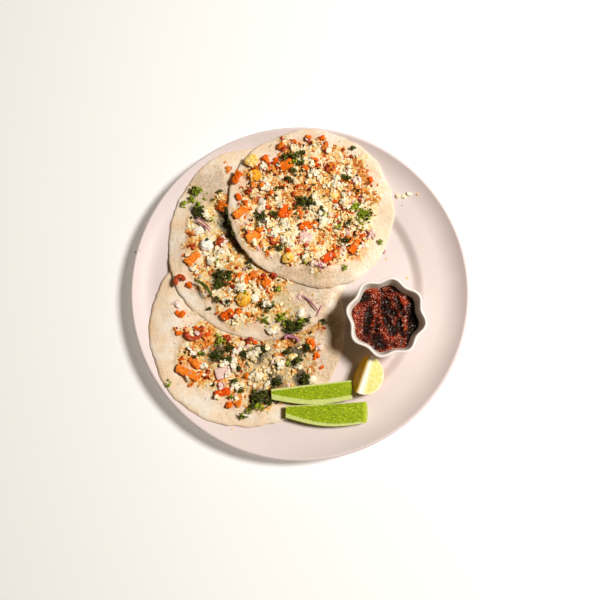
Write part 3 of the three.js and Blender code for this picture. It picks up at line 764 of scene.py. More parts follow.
def wall_ring(share, inset, rise=0.0):
    """A ring of the bowl's wall, inset from the outside."""
    radius, depth = bowl_wall(share)
    return lobed_ring(radius - inset, depth, mix(BOWL_FOOT_HEIGHT, BOWL_HEIGHT, share) + rise)


def make_bowl():
    # the foot from the middle outwards, then the floor inside: radius, lobe depth and height
    inner_foot, outer_foot, floor_reach = BOWL_FOOT_INNER, BOWL_FOOT_OUTER, BOWL_FOOT_OUTER - BOWL_WALL
    foot = [lobed_ring(*place) for place in (
        (inner_foot, 0, BOWL_FOOT_HEIGHT), (inner_foot + 0.3, 0, 0.2), (inner_foot + 0.8, 0, 0),
        (outer_foot - 0.8, 0, 0), (outer_foot, 0, 0.5), (outer_foot + 1.2, 0.1, 1.6),
    )]
    floor = [
        lobed_ring(floor_reach + 1, 0.1, BOWL_FLOOR + 0.4),
        lobed_ring(floor_reach - 2, 0, BOWL_FLOOR),
    ]
    outer = [wall_ring(share, 0) for share in np.linspace(0.04, BOWL_RIM_START, 16)]
    rim = [
        wall_ring(BOWL_RIM_START, BOWL_WALL / 2 * (1 - math.cos(turn)), BOWL_RIM_RISE * math.sin(turn))
        for turn in np.linspace(0, math.pi, 9)[1:-1]
    ]
    inner = [wall_ring(share, BOWL_WALL) for share in np.linspace(BOWL_RIM_START, 0.1, 16)]
    outside = foot + outer + rim
    rings = outside + inner + floor
    poles = [(*BOWL_CENTRE, BOWL_BASE + height) for height in (BOWL_FOOT_HEIGHT, BOWL_FLOOR)]
    points, faces = ring_surface(rings, *poles)
    # Painted shade: the inside of the bowl takes the darker inside colour.
    inside = np.repeat(smoothstep(np.arange(len(rings)) - len(outside), 0, 3), BOWL_SEGMENTS)
    material = glaze("bowl_glaze", BOWL_COLOUR, BOWL_INSIDE_COLOUR)
    add_piece("dip_bowl_glazed", points, faces, material, "bowl_glaze", ["dip_bowl"],
              inside=to_points(inside, (0.0, 1.0)))


# ---- Chutney ----

# Hollows between the chutney's ridges: from and to, as offsets from the bowl's middle, and half width.
CHUTNEY_HOLLOWS = (
    ((2, 14), (-1, 9), 3.4), ((-1, 9), (6, 4), 3.0), ((-1, 3), (6, -10), 2.6),
    ((-12, 8), (-14.5, -9), 2.4), ((-20, 16), (-16, 19), 3.0), ((-7, -15), (-2, -21), 2.6),
    ((9, 15), (13, 5), 1.8), ((11, -2), (12, -12), 1.6), ((-6, 3), (-7, -9), 1.6),
)
# How far the chutney reaches into the bowl's wall.
CHUTNEY_OVERLAP = 0.5


def from_line(points, start, end):
    """Distance in plan from a straight line between two places."""
    start, along = np.array(start), np.subtract(end, start)
    share = np.clip((points[..., :2] - start) @ along / (along @ along), 0, 1)
    return np.linalg.norm(points[..., :2] - start - share[..., None] * along, axis=-1)


def make_chutney():
    """Chutney heaped in the bowl: ridges, pulp and grains, with hollows and a low side between them. Its
    height values paint shade into the hollows and a painted shadow of the bowl's right wall onto the low
    side.
    """
    radius, depth = bowl_wall((CHUTNEY_LEVEL - BOWL_FOOT_HEIGHT) / (BOWL_HEIGHT - BOWL_FOOT_HEIGHT))
    steps = np.linspace(0.01, 1, 74)
    edge = lobed_ring(radius - BOWL_WALL + CHUTNEY_OVERLAP, depth, CHUTNEY_LEVEL)
    middle = np.array((*BOWL_CENTRE, BOWL_BASE + CHUTNEY_LEVEL))
    top = middle + steps[:, None, None] * (edge - middle)
    local = (top - middle) * (1, 1, 0)
    swirl = 0.9 * noise(local, 13, 5)
    ridges = fractal(local + 2 * swirl[..., None], 7.5, 11, 2)
    away, own = nearest_cell(local + 1.2 * swirl[..., None], 3.6, 12)
    pulp = dome(away, 0.62) * (0.55 + 0.45 * own)
    away, own = nearest_cell(local, 1.6, 15)
    grains = dome(away, 0.6) * (0.5 + 0.5 * own)
    relief = 1.4 * ridges + 1.3 * pulp + 1.3 * grains + 0.3 * fractal(local, 1.6, 17)
    hollow = np.zeros(relief.shape)
    for start, end, half in CHUTNEY_HOLLOWS:
        away = from_line(local, start, end) + 1.1 * noise(local, 2.6, 18) + 0.8 * swirl
        hollow = np.maximum(hollow, 1 - smoothstep(away, -0.5, 2.0 * half))
    # The low right side, darkened as a painted shadow of the bowl's right wall.
    side = smoothstep(local[..., 0] + 1.2 * noise(local, 4, 19), 15, 21)
    calm = 1 - smoothstep(steps, 0.93, 1.0)[:, None]
    crown = 1 - steps[:, None] ** 2
    top[..., 2] += calm * (0.8 * relief - 1.8 * np.maximum(hollow, side)) + crown - 0.5
    below = middle - (0, 0, 3.5) + steps[::-12, None, None] * (edge - middle) * 0.97
    # Height values for the material: low places are painted dark as shade.
    height = np.clip(0.46 + 0.17 * relief - 0.4 * hollow - 0.5 * side, 0, 1)
    heights = np.concatenate([height, np.zeros(below.shape[:2])])
    points, faces = closed_surface(np.concatenate([top, below]))
    add_piece("chutney_surface", points, faces, sauce(), "chutney", ["chutney"],
              height=to_points(heights, (height[0].mean(), 0.0)))


# ---- Lime wedge ----

LIME_SLICES, LIME_FACE_STEPS, LIME_RIND_STEPS = 90, 30, 44
LIME_ROUND_OFF = 0.4


def lime_slice(along):
    """Points of one slice across the ridge at along, from -1 to 1, with its pulp and rind shares.

    It runs up the shaded face, down the lit one and back round the rind. Only the lit face shows pulp; the
    shaded face takes the rind's colour, a painted golden glow of light through the wedge.
    """
    reach = mix(LIME_CORE * 1.2, LIME_RADIUS, dome(along))
    lit, shaded = math.radians(LIME_LIT_FACE), math.radians(LIME_SHADED_FACE)
    face = mix(LIME_CORE, reach - LIME_ROUND_OFF, np.linspace(0, 1, LIME_FACE_STEPS))
    arc = np.linspace(lit, shaded, LIME_RIND_STEPS)
    distance = np.concatenate([face[::-1], face, np.full_like(arc, reach)])
    turn = np.concatenate([np.full_like(face, shaded), np.full_like(face, lit), arc])
    # The shaded cut face takes the rind's colour: a painted golden glow of light through the wedge.
    rind = np.repeat((1.0, 0.0, 1.0), (LIME_FACE_STEPS, LIME_FACE_STEPS, LIME_RIND_STEPS))
    pith = mix(5.2, 2.6, (along + 1) / 2)
    pulp = smoothstep(distance, pith - 1, pith + 3.5) * smoothstep(reach - distance, 0.6, 2.0)
    pulp = pulp * smoothstep(1 - abs(along), 0.05, 0.12) * (rind == 0)
    x = np.full_like(turn, along * LIME_LENGTH / 2)
    return np.stack([x, distance * np.cos(turn), distance * np.sin(turn)], -1), pulp, rind


def make_lime():
    """The wedge on its rind, with the pulp of its lit face sunk a little between the pith."""
    top_height = node_box("lime_wedge")[1][2]
    origin = np.array((*LIME_RIDGE, top_height - LIME_CORE * math.sin(math.radians(LIME_LIT_FACE))))
    places = [math.sin(math.pi / 2 * (2 * share - 1)) for share in np.linspace(0, 1, LIME_SLICES)]
    local, pulp, rind = (np.array(part) for part in zip(*map(lime_slice, places)))
    reach = np.linalg.norm(local[..., 1:], axis=-1)
    spokes = np.stack([np.arctan2(reach - 1, local[..., 0] * 1.3) * 13, reach * 0.24, 0 * reach], -1)
    vesicles = 0.5 * fractal(spokes, 1.5, 33, 2) + 0.5 * fractal(local, 2.2, 34, 2)
    sunk = pulp * (0.5 - 0.3 * vesicles) * 0.9
    inwards = np.array((0, np.sin(math.radians(LIME_LIT_FACE)), -1))
    peel = rind[..., None] * 0.12 * noise(local, 1.4, 35)[..., None]
    local = local + inwards * (sunk * 0.5)[..., None] + peel
    local[..., 2] += (1 - rind) * 0.25 * noise(local, 5, 36)
    points, faces = closed_surface(local)
    add_piece("lime_wedge_cut", placed(points, origin, LIME_TURN), faces, citrus(), "lime", ["lime_wedge"],
              pulp=to_points(pulp), rind=to_points(rind), vesicle=to_points(0.5 + 0.5 * vesicles))


# ---- Cucumber sticks ----

STICK_SLICES, STICK_FACE_STEPS, STICK_BELLY_STEPS = 150, 44, 36


def top_of(node, x, y):
    """Height of a node's upper side at a place."""
    return tree_of(node).ray_cast(Vector((x, y, 100)) * MM, -UP)[0].z / MM


def stick_slice(stick, share):
    """One slice of a stick, with the share of seeded flesh at each of its points."""
    arch = math.sin(math.pi * share)
    width = mix(stick["left"], stick["right"], share) + stick["bulge"] * arch
    deep = mix(stick["left"] / stick["right"], 1, min(1, 2 * share)) * CUCUMBER_DEPTH
    slant = mix(-stick["slants"][0], stick["slants"][1], share)
    across = np.linspace(0.5, -0.5, STICK_FACE_STEPS)
    belly = np.radians(np.linspace(181, 359, STICK_BELLY_STEPS))
    y = np.concatenate([across * width, width / 2 * np.cos(belly)])
    z = np.concatenate([CUCUMBER_CROWN * (1 - (2 * across) ** 2), deep * np.sin(belly)])
    upper, lower = mix(*stick["flesh_upper"], share), mix(*stick["flesh_lower"], share)
    seeded = smoothstep(width / 2 - y, upper - 0.8, upper + 0.9)
    seeded = seeded * smoothstep(y + width / 2, lower - 1.4, lower + 1.8)
    seeded[STICK_FACE_STEPS:] = 0
    x = stick["length"] * (share - 0.5) - slant * z
    return np.stack([x, y - stick["bow"] * arch, z], -1), seeded


def make_stick(name, stick):
    """One stick, laid at the height and tilt of its solid's upper side."""
    shares = (1 - np.cos(np.linspace(0, math.pi, STICK_SLICES))) / 2
    local, seeded = (np.array(part) for part in zip(*(stick_slice(stick, share) for share in shares)))
    top = np.zeros_like(seeded)
    top[:, :STICK_FACE_STEPS] = 1
    flat = local * (1, 1, 0) + (0, 0, stick["length"] * stick["turn"])
    away, own = nearest_cell(flat * (0.62, 1.25, 1), 1.5, 41)
    seeds = (1 - smoothstep(away, 0.15, 0.5)) * (0.35 + 0.65 * own)
    local[..., 2] += top * (seeded * (0.3 * seeds - 0.25) + 0.12 * noise(flat, 3, 42))
    local[..., 1:] += (1 - top)[..., None] * 0.12 * noise(local, 3, 43)[..., None]
    # Painted light on the right end's cut, where it faces the lamp; it is also the cut flesh's colour.
    bright = smoothstep(local[..., 0], stick["length"] * 0.45, stick["length"] * 0.48) * stick["end_bright"]
    turn = math.radians(stick["turn"])
    along = np.array((math.cos(turn), math.sin(turn)))
    bow = stick["bow"] * np.array((math.sin(turn), -math.cos(turn)))
    quarter = stick["length"] / 4
    heights = [top_of(name, *(stick["centre"] + side * quarter * along + bow)) for side in (-1, 1)]
    tilt = math.atan((heights[0] - heights[1]) / (2 * quarter))
    origin = np.array((*stick["centre"], sum(heights) / 2 - CUCUMBER_CROWN - 0.1))
    points, faces = closed_surface(local)
    points = placed(points, origin, stick["turn"], tilt)
    add_piece(name + "_cut", points, faces, CUCUMBER, "cucumber", [name], seeded=to_points(seeded),
              seeds=to_points(seeds * top), face=to_points(top), bright=to_points(bright))


# ---- Large toppings ----

# How a node's name starts -> its material's name, slot, and how rough the piece is in millimetres.
TOPPING_KINDS = {
    "paneer_golden": ("fried_paneer", "paneer_fried", 0.9),
    "paneer_yellow": ("fried_paneer", "paneer_fried", 0.5),
    "paneer_white": ("fresh_paneer", "paneer", 1.0),
    "carrot": ("carrot", "carrot", 0.9),
    "tomato": ("tomato", "tomato", 1.0),
    "onion_purple": ("onion_skin", "onion_purple", 0.3),
    "onion": ("onion", "onion", 0.3),
}


def refined(node, angular):
    """Points, normals and faces of a node after smoothing, brought back to the node's own size."""
    welded = bmesh.new()
    welded.from_mesh(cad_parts[node].data)
    bmesh.ops.remove_doubles(welded, verts=welded.verts, dist=0.01 * MM)
    mesh = bpy.data.meshes.new("refining")
    welded.to_mesh(mesh)
    welded.free()
    copy = add_object("refining", mesh)
    for style in ("SIMPLE", "SIMPLE" if angular else "CATMULL_CLARK"):
        modifier = copy.modifiers.new("refine", "SUBSURF")
        modifier.subdivision_type = style
    fine = copy.evaluated_get(bpy.context.evaluated_depsgraph_get()).to_mesh()
    points = np.array([v.co[:] for v in fine.vertices]) / MM
    normals = np.array([v.normal[:] for v in fine.vertices])
    faces = [list(p.vertices) for p in fine.polygons]
    bpy.data.objects.remove(copy)
    low, high = node_box(node)
    shrunk = (high - low) / np.ptp(points, axis=0)
    return (low + high) / 2 + (points - points.mean(0)) * shrunk, normals, faces


def make_toppings():
    """The toppings that are solids of their own, each with its roughness and tone."""
    pieces = []
    for seed, node in enumerate(sorted(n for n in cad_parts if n.startswith(tuple(TOPPING_KINDS)))):
        kind = next(kind for kind in TOPPING_KINDS if node.startswith(kind))
        material, slot, roughness = TOPPING_KINDS[kind]
        points, normals, faces = refined(node, kind.startswith(("paneer", "carrot")))
        offset = points + 100 * seed
        swell = 0.9 * fractal(offset, 3.2, 5, 2) + 0.4 * noise(offset, 1.5, 6)
        points = points + normals * (roughness * swell - 0.15)[:, None] - (0, 0, TOPPING_SINK)
        tone = np.full(len(points), 0.5 + 0.5 * lattice(np.array([seed, 3, 7]), 2))
        pieces.append(add_piece(node + "_rough", points, faces, MATERIALS[material], slot, [node],
                                tone=tone, low=lowness(points)))
    return pieces


# ---- Small toppings ----

RANDOM = np.random.default_rng(20)
LUMP_SHAPES, CLUMP_SHAPES, LEAF_SHAPES, STRIP_SHAPES = 12, 16, 12, 6
LEAF_POINTS, STRIP_POINTS, STRIP_RINGS = 10, 6, 9


def sphere(subdivisions):
    mesh = bmesh.new()
    bmesh.ops.create_icosphere(mesh, subdivisions=subdivisions, radius=1)
    points = np.array([v.co[:] for v in mesh.verts])
    faces = np.array([[v.index for v in f.verts] for f in mesh.faces])
    mesh.free()
    return points, faces


def lump_shapes(subdivisions, roughness, square=2.0):
    """Uneven lumps about one across; square above 2 makes them blocky."""
    points, faces = sphere(subdivisions)
    blocky = points / (np.abs(points) ** square).sum(1, keepdims=True) ** (1 / square)
    shapes = []
    for seed in range(LUMP_SHAPES):
        swell = 1 + roughness * fractal(points * 2 + 10 * seed, 1.6, 90 + seed, 2)
        shapes.append((0.5 * blocky * swell[:, None], faces))
    return shapes


def clump_shapes(parts, roughness, square):
    """Ragged clumps about one across, each a few lumps grown together."""
    lumps = lump_shapes(1, roughness, square)
    shapes = []
    for _ in range(CLUMP_SHAPES):
        points, faces, start = [], [], 0
        for _ in range(parts):
            lump_points, lump_faces = lumps[RANDOM.integers(len(lumps))]
            scale = RANDOM.uniform(0.45, 0.8)
            points.append(lump_points * scale + RANDOM.uniform(-0.27, 0.27, 3))
            faces.append(lump_faces + start)
            start += len(lump_points)
        shapes.append((np.concatenate(points), np.concatenate(faces)))
    return shapes


def leaf_shapes():
    """Closed leaflets about one across, lobed, thin and bent."""
    shapes = []
    turn = full_turn(LEAF_POINTS)
    for seed in range(LEAF_SHAPES):
        bend, fold = RANDOM.uniform(-0.5, 0.5, 2)
        lobes = 0.5 * (0.62 + 0.38 * np.cos(turn * 2.5) ** 2)
        lobes = lobes * (1 + 0.16 * RANDOM.uniform(-1, 1, LEAF_POINTS))
        rings = []
        for side, share in ((-1, 0.5), (-1, 1.0), (1, 1.0), (1, 0.5)):
            x, y = lobes * share * np.cos(turn), lobes * share * np.sin(turn)
            wave = 0.07 * share * np.cos(5 * turn + seed)
            z = bend * x * x * 2 + fold * y * y * 2 + wave + side * mix(0.05, 0.03, share)
            rings.append(np.stack([x, y, z], -1))
        points, faces = ring_surface(rings, (0, 0, -0.05), (0, 0, 0.05))
        shapes.append((points, triangles(faces)))
    return shapes


def strip_shapes(thick, wide, arc):
    """Closed strips one long with a flat oval section, curved by up to arc degrees."""
    shapes = []
    section = full_turn(STRIP_POINTS)
    for _ in range(STRIP_SHAPES):
        curve = math.radians(arc) * RANDOM.uniform(0.3, 1)
        rings = []
        for share in np.linspace(-0.5, 0.5, STRIP_RINGS):
            turn = curve * share
            taper = 1 - 0.6 * abs(2 * share) ** 3
            wave = 0.06 * math.sin(7 * share)
            middle = np.array([math.sin(turn) / curve, (math.cos(turn) - 1) / curve, wave])
            out, up = np.array([math.sin(turn), math.cos(turn), 0]), np.array(UP)
            rings.append([
                middle + taper * (wide * math.cos(a) * out + thick * math.sin(a) * up) for a in section
            ])
        points, faces = closed_surface(rings)
        shapes.append((points, triangles(faces)))
    return shapes


def triangles(faces):
    """Faces split into triangles, as an array."""
    fans = [(f[0], f[k], f[k + 1]) for f in faces for k in range(1, len(f) - 1)]
    return np.array(fans)


def lowness(points):
    """0 at the top of some points, 1 at their bottom."""
    return (points[:, 2].max() - points[:, 2]) / np.ptp(points[:, 2])


class Kind:
    """One kind of small topping: its shapes and the copies laid down so far."""

    def __init__(self, name, shapes, material, slot):
        self.name, self.shapes, self.material, self.slot = name, shapes, MATERIALS[material], slot
        self.copies = []

    def add(self, matrix, place, tone):
        self.copies.append((RANDOM.integers(len(self.shapes)), matrix, place, tone))

    def build(self):
        """Makes one piece of all the copies."""
        points, faces, tones, lows, count = [], [], [], [], 0
        for shape, matrix, place, tone in self.copies:
            shape_points, shape_faces = self.shapes[shape]
            points.append(shape_points @ matrix.T + place)
            faces.append(shape_faces + count)
            tones.append(np.full(len(shape_points), tone))
            lows.append(lowness(points[-1]))
            count += len(shape_points)
        add_piece(self.name, np.concatenate(points), np.concatenate(faces), self.material, self.slot,
                  tone=np.concatenate(tones), low=np.concatenate(lows))


class Heap:
    """Heights of the food from above on a square grid, which rise as things are laid on it."""

    STEP, HALF, PILE = 0.5, 138.0, 2.4
    # in metres
    ABOVE = 0.1

    def __init__(self, pieces):
        points, faces, owners = [], [], []
        for number, piece in enumerate(pieces):
            start = len(points)
            points += [v.co for v in piece.data.vertices]
            faces += [[start + i for i in p.vertices] for p in piece.data.polygons]
            owners += [number] * len(piece.data.polygons)
        tree = BVHTree.FromPolygons(points, faces)
        side = int(2 * self.HALF / self.STEP)
        self.height = np.zeros((side, side))
        self.owner = np.full((side, side), -1)
        for i, j in np.ndindex(side, side):
            x, y = self.STEP * i - self.HALF, self.STEP * j - self.HALF
            hit, _, face, _ = tree.ray_cast(Vector((x * MM, y * MM, self.ABOVE)), -UP)
            if hit:
                self.height[i, j] = hit.z / MM
                self.owner[i, j] = owners[face]
        self.most = self.height + self.PILE

    def cell(self, x, y):
        return int(round((x + self.HALF) / self.STEP)), int(round((y + self.HALF) / self.STEP))

    def owner_at(self, x, y):
        """Number of the piece that shows from above at a place."""
        return self.owner[self.cell(x, y)]

    def rest(self, x, y, reach):
        """Height and slope of what a thing of this reach would lie on."""
        i, j = self.cell(x, y)
        n = max(1, int(round(reach / self.STEP)))
        patch = self.height[i - n : i + n + 1, j - n : j + n + 1]
        half = patch.shape[0] // 2
        run = half * self.STEP * 1.2
        slope_x = (patch[half:].mean() - patch[: half + 1].mean()) / run
        slope_y = (patch[:, half:].mean() - patch[:, : half + 1].mean()) / run
        return 0.5 * (patch.mean() + patch.max()), np.clip((slope_x, slope_y), -0.8, 0.8)

    def raise_by(self, x, y, reach, bottom, thick):
        """Adds a thing with a rounded top, but never above the pile's limit."""
        i, j = self.cell(x, y)
        n = int(math.ceil(reach / self.STEP))
        window = (slice(i - n, i + n + 1), slice(j - n, j + n + 1))
        away = np.hypot(*np.mgrid[-n : n + 1, -n : n + 1]) * self.STEP / reach
        here = self.height[window]
        raised = np.where(away < 1, np.maximum(here, bottom + thick * dome(away)), here)
        self.height[window] = np.minimum(raised, self.most[window])


def turned(yaw, lean_x, lean_y, slope):
    """Rotation by the two leans, then by yaw, then laid along a slope."""
    lean = Matrix.Rotation(lean_x, 3, "X") @ Matrix.Rotation(lean_y, 3, "Y")
    up = Vector((-slope[0], -slope[1], 1)).normalized()
    along = UP.rotation_difference(up).to_matrix()
    return np.array(along @ Matrix.Rotation(yaw, 3, "Z") @ lean)


def lay(heap, kind, x, y, size, lean=0.3, sink=0.25, tone=None, yaw=None):
    """Lays one copy, of length, width and thickness size, on the heap."""
    length, width, thick = size
    reach = 0.25 * (length + width)
    ground, slope = heap.rest(x, y, 0.7 * reach)
    yaw = RANDOM.uniform(0, 2 * math.pi) if yaw is None else yaw
    lean_x, lean_y = RANDOM.normal(0, lean, 2)
    matrix = turned(yaw, lean_x, lean_y, slope) @ np.diag(size)
    rise = thick * (0.5 - sink) + PROPPED * lean * width
    kind.add(matrix, np.array((x, y, ground + rise)), RANDOM.uniform() if tone is None else tone)
    heap.raise_by(x, y, 0.9 * reach, ground, min(thick, 0.5 * width) * (1 - sink) * 0.8)


# Kind: usual length, its spread as a share, width and thickness as shares, lean in radians, sunk share.
SIZES = {
    "crumb_small": (1.9, 0.4, 0.8, 0.4, 0.3, 0.45),
    "crumb": (3.8, 0.4, 0.8, 0.5, 0.3, 0.35),
    "browned_small": (1.7, 0.4, 0.8, 0.3, 0.3, 0.55),
    "browned": (3.4, 0.3, 0.8, 0.3, 0.3, 0.5),
    "carrot": (3.8, 0.3, 0.65, 0.5, 0.25, 0.25),
    "shred": (4.2, 0.3, 0.4, 0.34, 0.2, 0.25),
    "tomato": (2.6, 0.35, 0.65, 0.45, 0.3, 0.3),
    "leaf_dark": (2.6, 0.45, 0.8, 1.0, 0.7, 0.1),
    "leaf_green": (2.6, 0.35, 0.8, 1.0, 0.7, 0.1),
    "onion": (3.2, 0.35, 0.6, 0.25, 0.25, 0.25),
    "sliver": (8.0, 0.25, 0.55, 0.55, 0.1, 0.3),
    "stem": (7.0, 0.3, 1.0, 1.0, 0.12, 0.2),
    "fleck": (0.8, 0.3, 0.8, 0.6, 0.3, 0.3),
}

# What is strewn evenly over a disc's topped part, then its patches: x, y, reach and number of pieces.
LAYOUT = {
    "uttapam_top": {
        "even": {"crumb_small": 860, "browned_small": 600, "crumb": 190, "browned": 140, "shred": 130,
            "tomato": 190, "carrot": 28, "onion": 60, "leaf_dark": 210, "fleck": 320},
        "browned_small": ((25, 99, 12, 56), (37, 110, 9, 20), (50, 97, 10, 34), (50, 80, 12, 46),
            (11, 84, 11, 26), (9, 31, 9, 26), (30, 85, 12, 50), (45, 45, 9, 20)),
        "browned": ((25, 99, 12, 36), (50, 80, 12, 28), (30, 86, 12, 30), (0, 76, 9, 14), (-22, 97, 7, 12),
            (9, 31, 8, 16), (20, 116, 7, 14), (-37, 83, 5, 10)),
        "tomato": ((-14, 116, 4, 9), (7, 123, 3, 8), (-4, 70, 4, 5), (30, 67, 4, 8), (36, 63, 4, 8),
            (-41, 79, 4, 10), (-3, 40, 6, 8), (25, 98, 5, 6)),
        "carrot": ((-31, 83, 3, 3), (-27, 105, 3, 3), (-20, 103, 4, 4), (3, 99, 3, 4), (19, 125, 3, 4),
            (-44, 68, 5, 6), (-22, 78, 5, 4), (-33, 45, 5, 4), (12, 52, 4, 3), (30, 30, 4, 3)),
        "leaf_dark": ((-12, 106, 5, 28), (-4, 108, 5, 28), (2, 111, 4, 18), (0, 102, 3, 12),
            (-5, 96, 3, 14), (-10, 89, 3, 18), (2, 71, 7, 55), (11, 68, 6, 41), (18, 64, 4, 18),
            (37, 91, 5, 34), (43, 116, 2, 7), (-21, 60, 4, 23), (-32, 57, 6, 56), (-19, 81, 2, 9),
            (39, 53, 4, 16), (38, 38, 6, 28), (54, 60, 5, 28), (-15, 32, 5, 16), (-28, 72, 3, 9)),
        "leaf_green": ((45, 67, 6, 60), (52, 61, 6, 64), (49, 55, 5, 40), (36, 17, 2.5, 14), (4, 20, 2, 6),
            (66, 39, 2.5, 8), (20, 60, 4, 10), (-5, 103, 4, 12), (30, 50, 5, 10)),
        "onion": ((46, 90, 4, 7), (40, 79, 4, 5), (25, 60, 5, 7), (59, 44, 5, 8), (52, 36, 4, 6),
            (35, 33, 4, 5), (14, 18, 5, 8)),
        "sliver": ((17, 18, 4, 3), (57, 45, 5, 2)),
        "crumb": ((28, 86, 9, 20), (15, 68, 8, 40), (37, 71, 6, 22), (-11, 51, 7, 46), (-8, 35, 7, 30),
            (-26, 52, 5, 18), (-20, 43, 7, 26), (20, 55, 9, 34), (-28, 82, 7, 20), (11, 94, 8, 20),
            (-30, 100, 5, 8)),
        "crumb_small": ((28, 85, 11, 90), (15, 68, 9, 130), (37, 71, 7, 70), (-11, 51, 8, 120),
            (-8, 35, 8, 80), (-24, 50, 8, 100), (20, 52, 10, 120), (-20, 80, 7, 60), (36, 58, 8, 60)),
    },
    "uttapam_middle": {
        "even": {"crumb_small": 460, "browned_small": 280, "crumb": 120, "browned": 80, "shred": 40,
            "tomato": 56, "carrot": 8, "onion": 20, "leaf_dark": 90, "fleck": 200},
        "browned_small": ((-52, 6, 12, 40), (-72, 22, 10, 22), (-26, 6, 8, 20), (-62, 75, 8, 30)),
        "browned": ((-59, 5, 6, 16), (-46, 7, 6, 18), (-36, 10, 6, 20), (-28, 4, 5, 10), (-22, -6, 4, 8),
            (-60, 30, 6, 14), (-60, 100, 5, 6), (-88, 45, 3, 8)),
        "tomato": ((-66, 36, 3, 5), (-88, 35, 3, 7), (-21, 10, 5, 10), (-30, 8, 4, 7), (-54, 0, 5, 8)),
        "carrot": ((-88, 2, 3, 4), (-28, 3, 4, 5), (-48, -20, 3, 4), (-41, -22, 2, 2), (-32, -11, 2, 2),
            (-38, 9, 4, 4), (-58, 70, 4, 3)),
        # The first three dark herb patches crowd herbs under the top disc's lifted edge, partly as painted
        # shadow.
        "leaf_dark": ((-56, 53, 4, 60), (-58, 62, 4, 50), (-53, 43, 5, 60), (-82, 62, 6, 60),
            (-87, 80, 5, 40), (-65, 80, 2.5, 12), (-64, 10, 5, 66), (-64, 2, 5, 50), (-57, 9, 5, 40),
            (-40, 19, 4, 23), (-48, -2, 3, 14), (-66, -9, 3, 12), (-72, -17, 2, 7), (-57, -12, 3, 14),
            (-24, -16, 4, 30), (-8, -30, 6, 90), (0, -31, 5, 56), (-30, -13, 4, 18), (5, -26, 4, 26)),
        "leaf_green": ((-84, 79, 5, 36), (-88, 74, 5, 24), (-94, 70, 4, 20), (-83, 68, 3, 14),
            (-72, 56, 3, 12), (-17, -1, 2.5, 14), (-27, -26, 5, 24), (-15, -25, 6, 28), (1, -27, 4, 16),
            (-43, -4, 3, 8), (-67, 22, 2, 6)),
        "onion": ((0, -6, 4, 6), (-60, 40, 5, 4)),
        "sliver": ((15, -18, 1, 1),),
        "stem": ((-74, -1, 1, 1),),
        "crumb": ((-76, 61, 5, 12), (-59, -12, 4, 8), (-27, -12, 4, 8), (-50, -24, 5, 16),
            (-22, -34, 5, 16), (-62, 30, 9, 50), (-72, 22, 6, 16), (-46, 0, 9, 36), (-14, 10, 5, 8),
            (-36, -8, 6, 18)),
        "crumb_small": ((-62, 28, 10, 120), (-46, 2, 11, 120), (-80, 63, 5, 30), (-22, -33, 6, 50),
            (-50, -25, 5, 40), (-6, -28, 6, 40), (-64, 6, 7, 40), (-65, 76, 5, 50)),
    },
    "uttapam_bottom": {
        "even": {"crumb_small": 260, "browned_small": 260, "crumb": 80, "browned": 60, "shred": 50,
            "tomato": 90, "carrot": 6, "onion": 24, "leaf_dark": 150, "fleck": 260},
        "browned_small": ((-45, -60, 14, 30), (-20, -55, 14, 26), (-80, -55, 8, 20), (10, -48, 8, 50),
            (-80, -34, 9, 40), (-58, -44, 7, 20)),
        "browned": ((-54, -48, 4, 12), (-75, -38, 7, 16), (-38, -60, 10, 12), (-18, -52, 8, 8),
            (-74, -46, 6, 14), (-47, -87, 4, 8), (12, -48, 4, 6)),
        "tomato": ((-57, -41, 5, 10), (-40, -44, 6, 12), (-73, -70, 4, 12), (-47, -67, 4, 8),
            (-30, -45, 5, 8)),
        "carrot": ((-94, -22, 3, 4), (-96, -36, 2, 2), (-42, -70, 4, 5), (-34, -71, 3, 4),
            (-37, -78, 3, 4), (-55, -93, 3, 4), (-48, -91, 3, 4), (8, -44, 3, 4), (13, -53, 3, 4),
            (17, -63, 2, 2), (-77, -68, 4, 4)),
        "leaf_dark": ((-66, -54, 5, 60), (-57, -57, 5, 46), (-56, -48, 5, 30), (-77, -53, 3, 14),
            (-44, -52, 5, 26), (-10, -51, 4, 34), (-2, -57, 5, 40), (-18, -75, 5, 34), (-52, -75, 4, 26),
            (-46, -81, 4, 20), (-33, -87, 6, 90), (-27, -84, 5, 50), (-37, -93, 4, 36), (-23, -90, 4, 30),
            (4, -73, 5, 44), (-21, -61, 4, 14), (-48, -64, 3, 12), (19, -26, 3, 12), (6, -47, 6, 40),
            (-30, -48, 6, 30)),
        "leaf_green": ((-64, -42, 4, 36), (-78, -52, 3, 14), (-31, -93, 5, 26), (-39, -96, 4, 18),
            (-101, -77, 3, 10), (-45, -101, 2, 8), (-10, -60, 6, 12), (-53, -86, 3, 10)),
        "onion": ((-99, -13, 4, 8), (-49, -50, 6, 10), (-62, -77, 4, 6), (14, -47, 3, 6), (-50, -86, 3, 3)),
        "sliver": ((-60, -76, 3, 2),),
        "stem": ((-44, -101, 1, 2),),
        "crumb": ((-68, -52, 3, 6), (-59, -59, 4, 10), (-52, -61, 5, 14), (-57, -68, 4, 8),
            (-1, -63, 4, 8), (-36, -54, 7, 34), (-16, -60, 7, 26), (-32, -70, 8, 34), (9, -73, 2.5, 6),
            (-50, -78, 4, 12), (-84, -52, 5, 10), (-76, -62, 6, 10)),
        "crumb_small": ((-38, -56, 12, 90), (-18, -58, 12, 90), (-28, -70, 9, 60), (-62, -58, 8, 40),
            (-78, -56, 8, 40), (-46, -76, 6, 30), (-5, -66, 7, 30)),
    },
}
# Kinds that pale patches mostly lack, and the only kinds that stained patches are full of. Stained patches
# are partly painted shadow, so only herbs are laid there and it stays dark.
BROWNED = ("browned_small", "browned", "shred", "carrot", "tomato")
HERBS = ("leaf_dark", "leaf_green")
